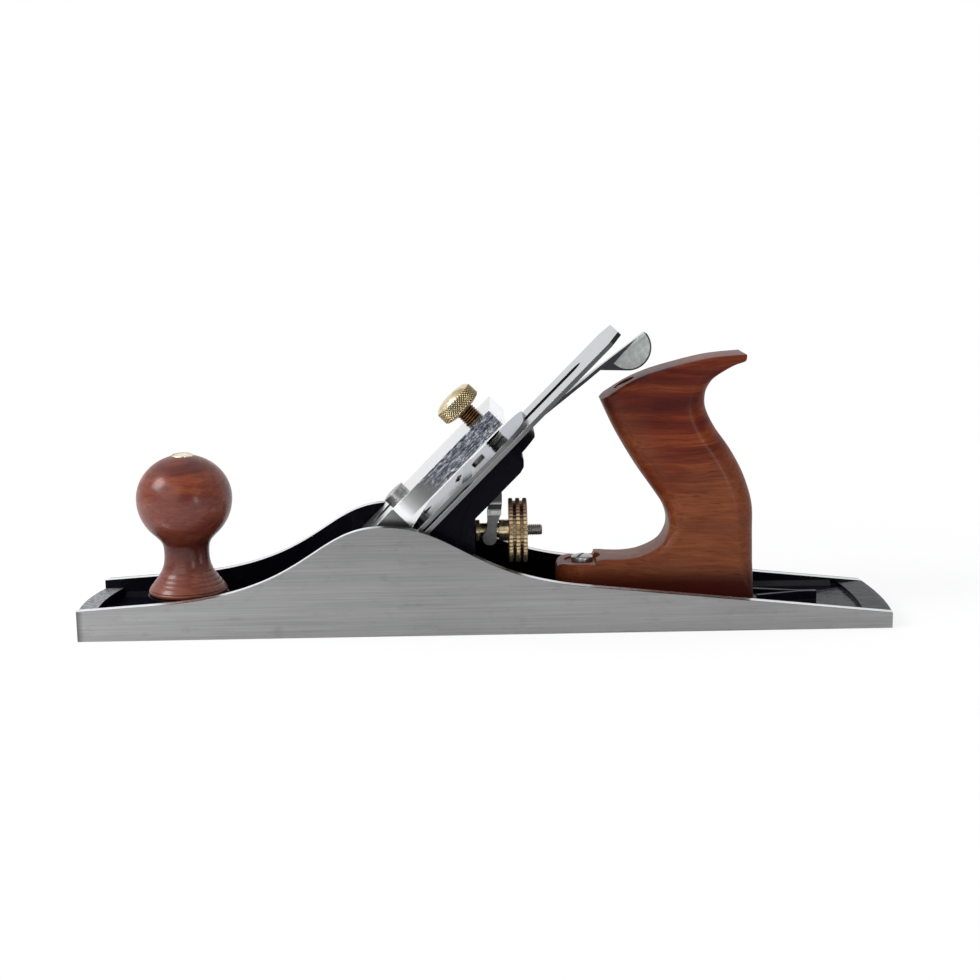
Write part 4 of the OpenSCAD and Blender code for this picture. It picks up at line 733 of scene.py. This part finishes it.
lo, hi = (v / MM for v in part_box("adjusting_stud"))
stud = threaded_rod("stud_thread", 5.5, 4.6, 1.0, hi.x - lo.x)
stud.transform(Matrix.Translation(Vector((lo.x, 0, (lo.z + hi.z) / 2)) * MM) @ Matrix.Rotation(math.radians(90), 4, "Y"))
stud_piece = new_object("stud_thread", stud, "dark", "frog_unit")
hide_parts("adjusting_stud")


def lathe(name, rows, ridges=16, depth=0.0, per_ridge=6, lead=0.0):
    """Turned shape about +Z from rows of height, radius and knurl share, closed at both ends.

    Without lead the knurl's grooves run along the axis; with it two sets of grooves cross."""
    around = ridges * per_ridge
    verts, faces = [], []
    for z, r, knurl in rows:
        for i in range(around):
            turns = i / per_ridge
            crossing = [turns + z / lead, turns - z / lead] if lead else [turns]
            dip = depth * knurl * max(0.5 + 0.5 * math.cos(2 * math.pi * t) for t in crossing)
            a = 2 * math.pi * i / around
            verts.append(((r - dip) * math.cos(a), (r - dip) * math.sin(a), z))
    for j in range(len(rows) - 1):
        for i in range(around):
            k = (i + 1) % around
            faces.append((j * around + i, j * around + k, (j + 1) * around + k, (j + 1) * around + i))
    faces.append(tuple(range(around))[::-1])
    faces.append(tuple((len(rows) - 1) * around + i for i in range(around)))
    return mesh_of(name, verts, faces)


def joined(name, *meshes):
    b = bmesh.new()
    for part in meshes:
        b.from_mesh(part)
    out = bpy.data.meshes.new(name)
    b.to_mesh(out)
    b.free()
    return out


def bezier_points(a, b, c, d, n):
    a, b, c, d = (Vector(v) for v in (a, b, c, d))
    return [((1 - t) ** 3) * a + 3 * (1 - t) ** 2 * t * b + 3 * (1 - t) * t * t * c + t ** 3 * d for t in (i / n for i in range(1, n + 1))]


def on_bed(u, v):
    return Vector((MOUTH_X + u * math.cos(BED) - v * math.sin(BED), 0, u * math.sin(BED) + v * math.cos(BED)))


# Thumb screw: knurled rim, low dome, threaded shank
THUMB_TIP_V = 4.25
rim_r = THUMB_D / 2
dome = [(THUMB_RIM + 0.5 + 2.1 * math.cos(math.radians(a)), (rim_r - 1.2) * math.sin(math.radians(a)), 0) for a in range(88, 0, -8)]
KNURL_PITCH = 1.5
steps = 26
head_rows = [(-1.2, rim_r - 4, 0), (-0.3, rim_r - 1.1, 0), (0.15, rim_r - 0.55, 0.4), (0.4, rim_r - 0.15, 1)]
head_rows += [(0.6 + (THUMB_RIM - 1.2) * i / steps, rim_r, 1) for i in range(steps + 1)]
head_rows += [(THUMB_RIM - 0.4, rim_r - 0.15, 1), (THUMB_RIM, rim_r - 0.6, 0.4), (THUMB_RIM + 0.2, rim_r - 1.0, 0)] + dome
head = lathe("thumb_head", head_rows, 44, 0.5, 8, KNURL_PITCH)
head.transform(Matrix.Translation((0, 0, (THUMB_HEAD_V - THUMB_TIP_V) * MM)))
shank = threaded_rod("thumb_shank", 9.4, 8.1, 1.25, THUMB_HEAD_V - THUMB_TIP_V)
shank.transform(Matrix.Rotation(math.pi, 4, "X") @ Matrix.Translation((0, 0, -(THUMB_HEAD_V - THUMB_TIP_V) * MM)))
thumb = joined("thumb_screw_knurled", head, shank)
bed_frame = Matrix.Translation(on_bed(THUMB_U, THUMB_TIP_V) * MM) @ Matrix.Rotation(-BED, 4, "Y")
thumb.transform(bed_frame)
thumb_piece = new_object("thumb_screw_knurled", thumb, "thumb", "thumb")
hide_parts("thumb_screw")

# Adjusting nut: flange, groove, hub and a wheel of three knurled rings
HUB_R, GROOVE_R, WHEEL_AT, RING_W, RING_GAP = 5.2, 3.6, 15.9, 2.2, 1.2
rows = [(0, 2.9, 0), (0, HUB_R - 0.3, 0), (0.3, HUB_R, 0), (1.8, HUB_R, 0), (2, HUB_R - 0.2, 0), (2, GROOVE_R, 0), (11.2, GROOVE_R, 0),
        (11.2, HUB_R - 0.2, 0), (11.4, HUB_R, 0), (WHEEL_AT, HUB_R, 0), (WHEEL_AT, NUT_R - 1.8, 0)]
for i in range(3):
    z = WHEEL_AT + i * (RING_W + RING_GAP)
    rows += [(z, NUT_R - 1.25, 0.2), (z + 0.05, NUT_R - 0.5, 0.6), (z + 0.35, NUT_R, 1), (z + RING_W - 0.35, NUT_R, 1), (z + RING_W - 0.05, NUT_R - 0.5, 0.6), (z + RING_W, NUT_R - 1.25, 0.2)]
end = WHEEL_AT + 9
rows += [(end, NUT_R - 2.2, 0), (end - 0.2, NUT_R - 3, 0), (end - 1, NUT_R - 3.4, 0), (end - 1, HUB_R + 0.3, 0), (end - 0.2, HUB_R, 0), (end, HUB_R - 0.3, 0), (end, 2.9, 0)]
nut = lathe("adjusting_nut_knurled", rows, 48, 0.7)
lo, hi = (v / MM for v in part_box("adjusting_nut"))
nut.transform(Matrix.Translation(Vector((lo.x, 0, (lo.z + hi.z) / 2)) * MM) @ Matrix.Rotation(math.radians(90), 4, "Y"))
nut_piece = new_object("adjusting_nut_knurled", nut, "nut", "depth_nut")
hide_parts("adjusting_nut")

# Casting seam, a fine raised bead on both sides of the frog
SEAM = [(-4.5, 61.7), (-7.3, 56.2), (-8.95, 50.7), (-9.85, 45.1), (-10.1, 40.3), (-9.6, 33.0), (-8.6, 26.5)]
FROG_W, SEAM_R = 54.0, 0.4


def seam_mesh():
    """A bead along the seam's points, half sunk in each side of the frog."""
    pts = [Vector((x, 0, z)) for x, z in SEAM]
    verts, faces = [], []
    around = 8
    for end in (-1, 1):
        first = len(verts)
        for i, p in enumerate(pts):
            d = (pts[min(i + 1, len(pts) - 1)] - pts[max(i - 1, 0)]).normalized()
            across = Vector((-d.z, 0, d.x))
            r = SEAM_R if 0 < i < len(pts) - 1 else SEAM_R * 0.4
            for k in range(around):
                a = 2 * math.pi * k / around
                out = Vector((0, end * (FROG_W / 2 + r * 0.6 * math.sin(a)), 0))
                verts.append(p + across * r * math.cos(a) + out)
        rings = [[first + i * around + k for k in range(around)] for i in range(len(pts))]
        for lower, upper in zip(rings, rings[1:]):
            faces += [(lower[k], lower[k - 1], upper[k - 1], upper[k]) for k in range(around)]
        faces += [tuple(rings[0]), tuple(rings[-1][::-1])]
    mesh = mesh_of("frog_seam", verts, faces)
    return mesh


seam = new_object("frog_seam", seam_mesh(), "frog", "frog_unit", sharp_deg=60)

# Knob: turned wood with fine beads near its foot
KNOB_X, BALL_R, BALL_Z, BALL_FLAT, NECK_R, FOOT_R, KNOB_SEAT = -142.95, 22.9, 61.0, 0.93, 10.8, 19.0, 14.4
neck = Vector((NECK_R, BALL_Z - 27))
join_a = math.radians(-45.5)
joint = Vector((BALL_R * math.cos(join_a), BALL_Z + BALL_R * math.sin(join_a)))
slope = Vector((-math.sin(join_a), math.cos(join_a)))
top_a = math.acos(5.45 / BALL_R)
flare = Vector((FOOT_R - 0.4, KNOB_SEAT + 2.8))
outline = [Vector(p) for p in ((3.0, KNOB_SEAT), (FOOT_R - 1.4, KNOB_SEAT), (FOOT_R - 0.5, KNOB_SEAT + 0.4), (FOOT_R, KNOB_SEAT + 1.4),
                               (FOOT_R - 0.15, KNOB_SEAT + 2.1), (FOOT_R - 0.7, KNOB_SEAT + 2.5))]
outline += [flare] + bezier_points(flare, flare + Vector((-4.2, 6.2)), neck - Vector((0, 8.5)), neck, 90)
outline += bezier_points(neck, neck + Vector((0, 6)), joint - 6 * slope, joint, 16)
for a in (join_a + (top_a - join_a) * i / 48 for i in range(1, 49)):
    outline.append(Vector((BALL_R * math.cos(a), BALL_Z + (BALL_FLAT if a > 0 else 1) * BALL_R * math.sin(a))))
rim_z = BALL_Z + BALL_FLAT * BALL_R * math.sin(top_a)
outline += [Vector((5.38, rim_z - 0.3)), Vector((5.38, rim_z - 9))]
BEADS = (19.6, 21.4, 23.4, 25.8)
turned = [(p.y, p.x - 0.22 * sum(math.exp(-((p.y - z) / 0.3) ** 2) for z in BEADS), 0) for p in outline]
knob = lathe("knob_turned", turned, 32, 0.0, 4)
knob.transform(Matrix.Translation((KNOB_X * MM, 0, 0)))
knob_piece = new_object("knob_turned", knob, "knob_wood", "base", sharp_deg=50)
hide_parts("knob")

# Knob's nut: a low dome with a driver slot
NUT_TOP, KNOB_NUT_R = 83.2, 5.3
dome_h = NUT_TOP - rim_z - 0.1
rows = [(rim_z - 8, 3.4, 0), (rim_z - 8, KNOB_NUT_R, 0), (rim_z + 0.1, KNOB_NUT_R, 0)]
rows += [(rim_z + 0.1 + dome_h * math.sin(a), max(KNOB_NUT_R * math.cos(a), 0.02), 0) for a in (math.radians(9 * i) for i in range(1, 11))]
knob_nut = lathe("knob_nut_domed", rows, 16, 0.0, 6)
knob_nut.transform(Matrix.Translation((KNOB_X * MM, 0, 0)))
nut_slot = slot_tool((KNOB_X, 0, NUT_TOP), 2 * KNOB_NUT_R, 1.2, 2.4, 20)
knob_nut_piece = new_object("knob_nut_domed", boolean(knob_nut, [("DIFFERENCE", nut_slot)]), "pale_brass", "base")
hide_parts("knob_nut")

# Toe screw with a round slotted head, its slot turned across
HEAD_R, HEAD_H, HEAD_DOME, HEAD_SLOT = 5.3, 3.4, 1.5, 1.5


def toe_screw_mesh():
    arc = [(HEAD_H - HEAD_DOME + HEAD_DOME * math.sin(a), HEAD_R * math.cos(a)) for a in (math.radians(9 * i) for i in range(10))]
    rows = [(-15, 2.5, 0), (0, 2.5, 0), (0, HEAD_R - 0.3, 0), (0.3, HEAD_R, 0)] + [(z, max(r, 0.02), 0) for z, r in arc]
    body = lathe("toe_screw_turned", rows, 12, 0.0, 6)
    body.transform(Matrix.Translation(Vector((TOE_SCREW, 0, TOTE_SEAT_Z + TOE_SEAT)) * MM))
    blade = slot_tool((TOE_SCREW, 0, TOTE_SEAT_Z + TOE_SEAT + HEAD_H), 3 * HEAD_R, HEAD_SLOT, 3.2, 62)
    return boolean(body, [("DIFFERENCE", blade)])


toe_screw = new_object("toe_screw_slotted", toe_screw_mesh(), "cap_screw", "base")
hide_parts("tote_toe_screw")

# Floor, light and camera
scene = bpy.context.scene


floor_mesh = bpy.data.meshes.new("floor")
bm = bmesh.new()
bmesh.ops.create_grid(bm, x_segments=4, y_segments=4, size=3.0)
bm.to_mesh(floor_mesh)
bm.free()
floor = bpy.data.objects.new("floor", floor_mesh)
scene.collection.objects.link(floor)
m = Mat("floor_look")
tone = m.span(m.noise((3, 3, 3), 2.0), 0.3, 0.7, 0.86, 0.88)
paper = m.shader(Base_Color=m.grey(tone), Roughness=0.9)
# A white sheet to the camera, fully white away from the plane's shadow; what lies behind the plane
# is white to glossy rays too, while the front shows the sheet as it is lit
fx, fy, _ = m.xyz()
away = m.math("SQRT", m.math("ADD", m.math("POWER", m.math("DIVIDE", fx, 0.34), 2.0), m.math("POWER", m.math("DIVIDE", fy, 0.24), 2.0)))
lp = m.add("ShaderNodeLightPath")
seen = m.math("MULTIPLY", lp.outputs["Is Camera Ray"], m.span(away, 0.8, 1.3, 0.78, 1.0))
mirrored = m.math("MAXIMUM", lp.outputs["Is Glossy Ray"], lp.outputs["Is Transmission Ray"])
mirrored = m.math("MULTIPLY", mirrored, m.span(fy, 0.02, 0.3))
white = m.add("ShaderNodeEmission")
white.inputs["Color"].default_value = (1, 1, 1, 1)
floor_mesh.materials.append(m.done(m.mixed(m.math("MAXIMUM", seen, mirrored), paper, white.outputs[0])))

world = bpy.data.worlds.new("studio")
scene.world = world
world.use_nodes = True
nt = world.node_tree
nt.nodes.clear()


def world_node(kind, **inputs):
    n = nt.nodes.new(kind)
    for key, value in inputs.items():
        socket = n.inputs[key.replace("_", " ")]
        if isinstance(value, bpy.types.NodeSocket):
            nt.links.new(value, socket)
        else:
            socket.default_value = value
    return n


# White behind and above, darker on the camera's side; plain white to the camera itself
ray = nt.nodes.new("ShaderNodeTexCoord").outputs["Generated"]
rise = world_node("ShaderNodeVectorMath", Vector=ray)
rise.operation = "DOT_PRODUCT"
rise.inputs[1].default_value = (0, 0.8, 0.5)
level = world_node("ShaderNodeMapRange", Value=rise.outputs["Value"], From_Min=-0.5, From_Max=0.45, To_Min=0.3, To_Max=1.0)
lit = world_node("ShaderNodeBackground", Color=(0.97, 0.98, 1.0, 1), Strength=level.outputs[0])
plain = world_node("ShaderNodeBackground", Color=(1, 1, 1, 1), Strength=1.0)
path = nt.nodes.new("ShaderNodeLightPath")
mix = nt.nodes.new("ShaderNodeMixShader")
nt.links.new(path.outputs["Is Camera Ray"], mix.inputs[0])
nt.links.new(lit.outputs[0], mix.inputs[1])
nt.links.new(plain.outputs[0], mix.inputs[2])
nt.links.new(mix.outputs[0], nt.nodes.new("ShaderNodeOutputWorld").inputs["Surface"])


def area_light(name, place, target, size, watts):
    data = bpy.data.lights.new(name, "AREA")
    data.shape = "RECTANGLE"
    data.size, data.size_y = size
    data.energy = watts
    o = bpy.data.objects.new(name, data)
    o.location = place
    o.rotation_euler = (Vector(target) - Vector(place)).to_track_quat("-Z", "Y").to_euler()
    scene.collection.objects.link(o)


area_light("softbox_left", (-1.05, -0.3, 0.8), (-0.1, 0, 0.05), (0.5, 0.5), 10)
area_light("softbox_front", (-0.7, -1.0, 0.6), (0, 0, 0.05), (1.3, 1.1), 8)
area_light("strip_right", (0.6, -0.95, 0.14), (0, 0, 0.06), (0.08, 0.4), 1.5)

CAM_AT = Vector((2.18, -786.2, 198.2)) * MM
YAW, PITCH, ROLL = math.radians(0.180), math.radians(9.8), math.radians(-0.963)
FOCAL_PX, IMAGE_PX, SENSOR_MM = 1652.6, 980.0, 36.0
ahead = Vector((math.sin(YAW), math.cos(YAW), 0))
side = Vector((math.cos(YAW), -math.sin(YAW), 0))
up = Vector((0, 0, 1))
look = ahead * math.cos(PITCH) - up * math.sin(PITCH)
top = up * math.cos(PITCH) + ahead * math.sin(PITCH)
cam_right = side * math.cos(ROLL) + top * math.sin(ROLL)
cam_up = top * math.cos(ROLL) - side * math.sin(ROLL)
cam_data = bpy.data.cameras.new("camera")
cam_data.sensor_width = SENSOR_MM
cam_data.lens = SENSOR_MM * FOCAL_PX / IMAGE_PX
cam_data.clip_start, cam_data.clip_end = 0.01, 20
camera = bpy.data.objects.new("camera", cam_data)
turn = Matrix((cam_right, cam_up, -look)).transposed().to_4x4()
camera.matrix_world = Matrix.Translation(CAM_AT) @ turn
scene.collection.objects.link(camera)
scene.camera = camera
scene.view_settings.view_transform = "Standard"
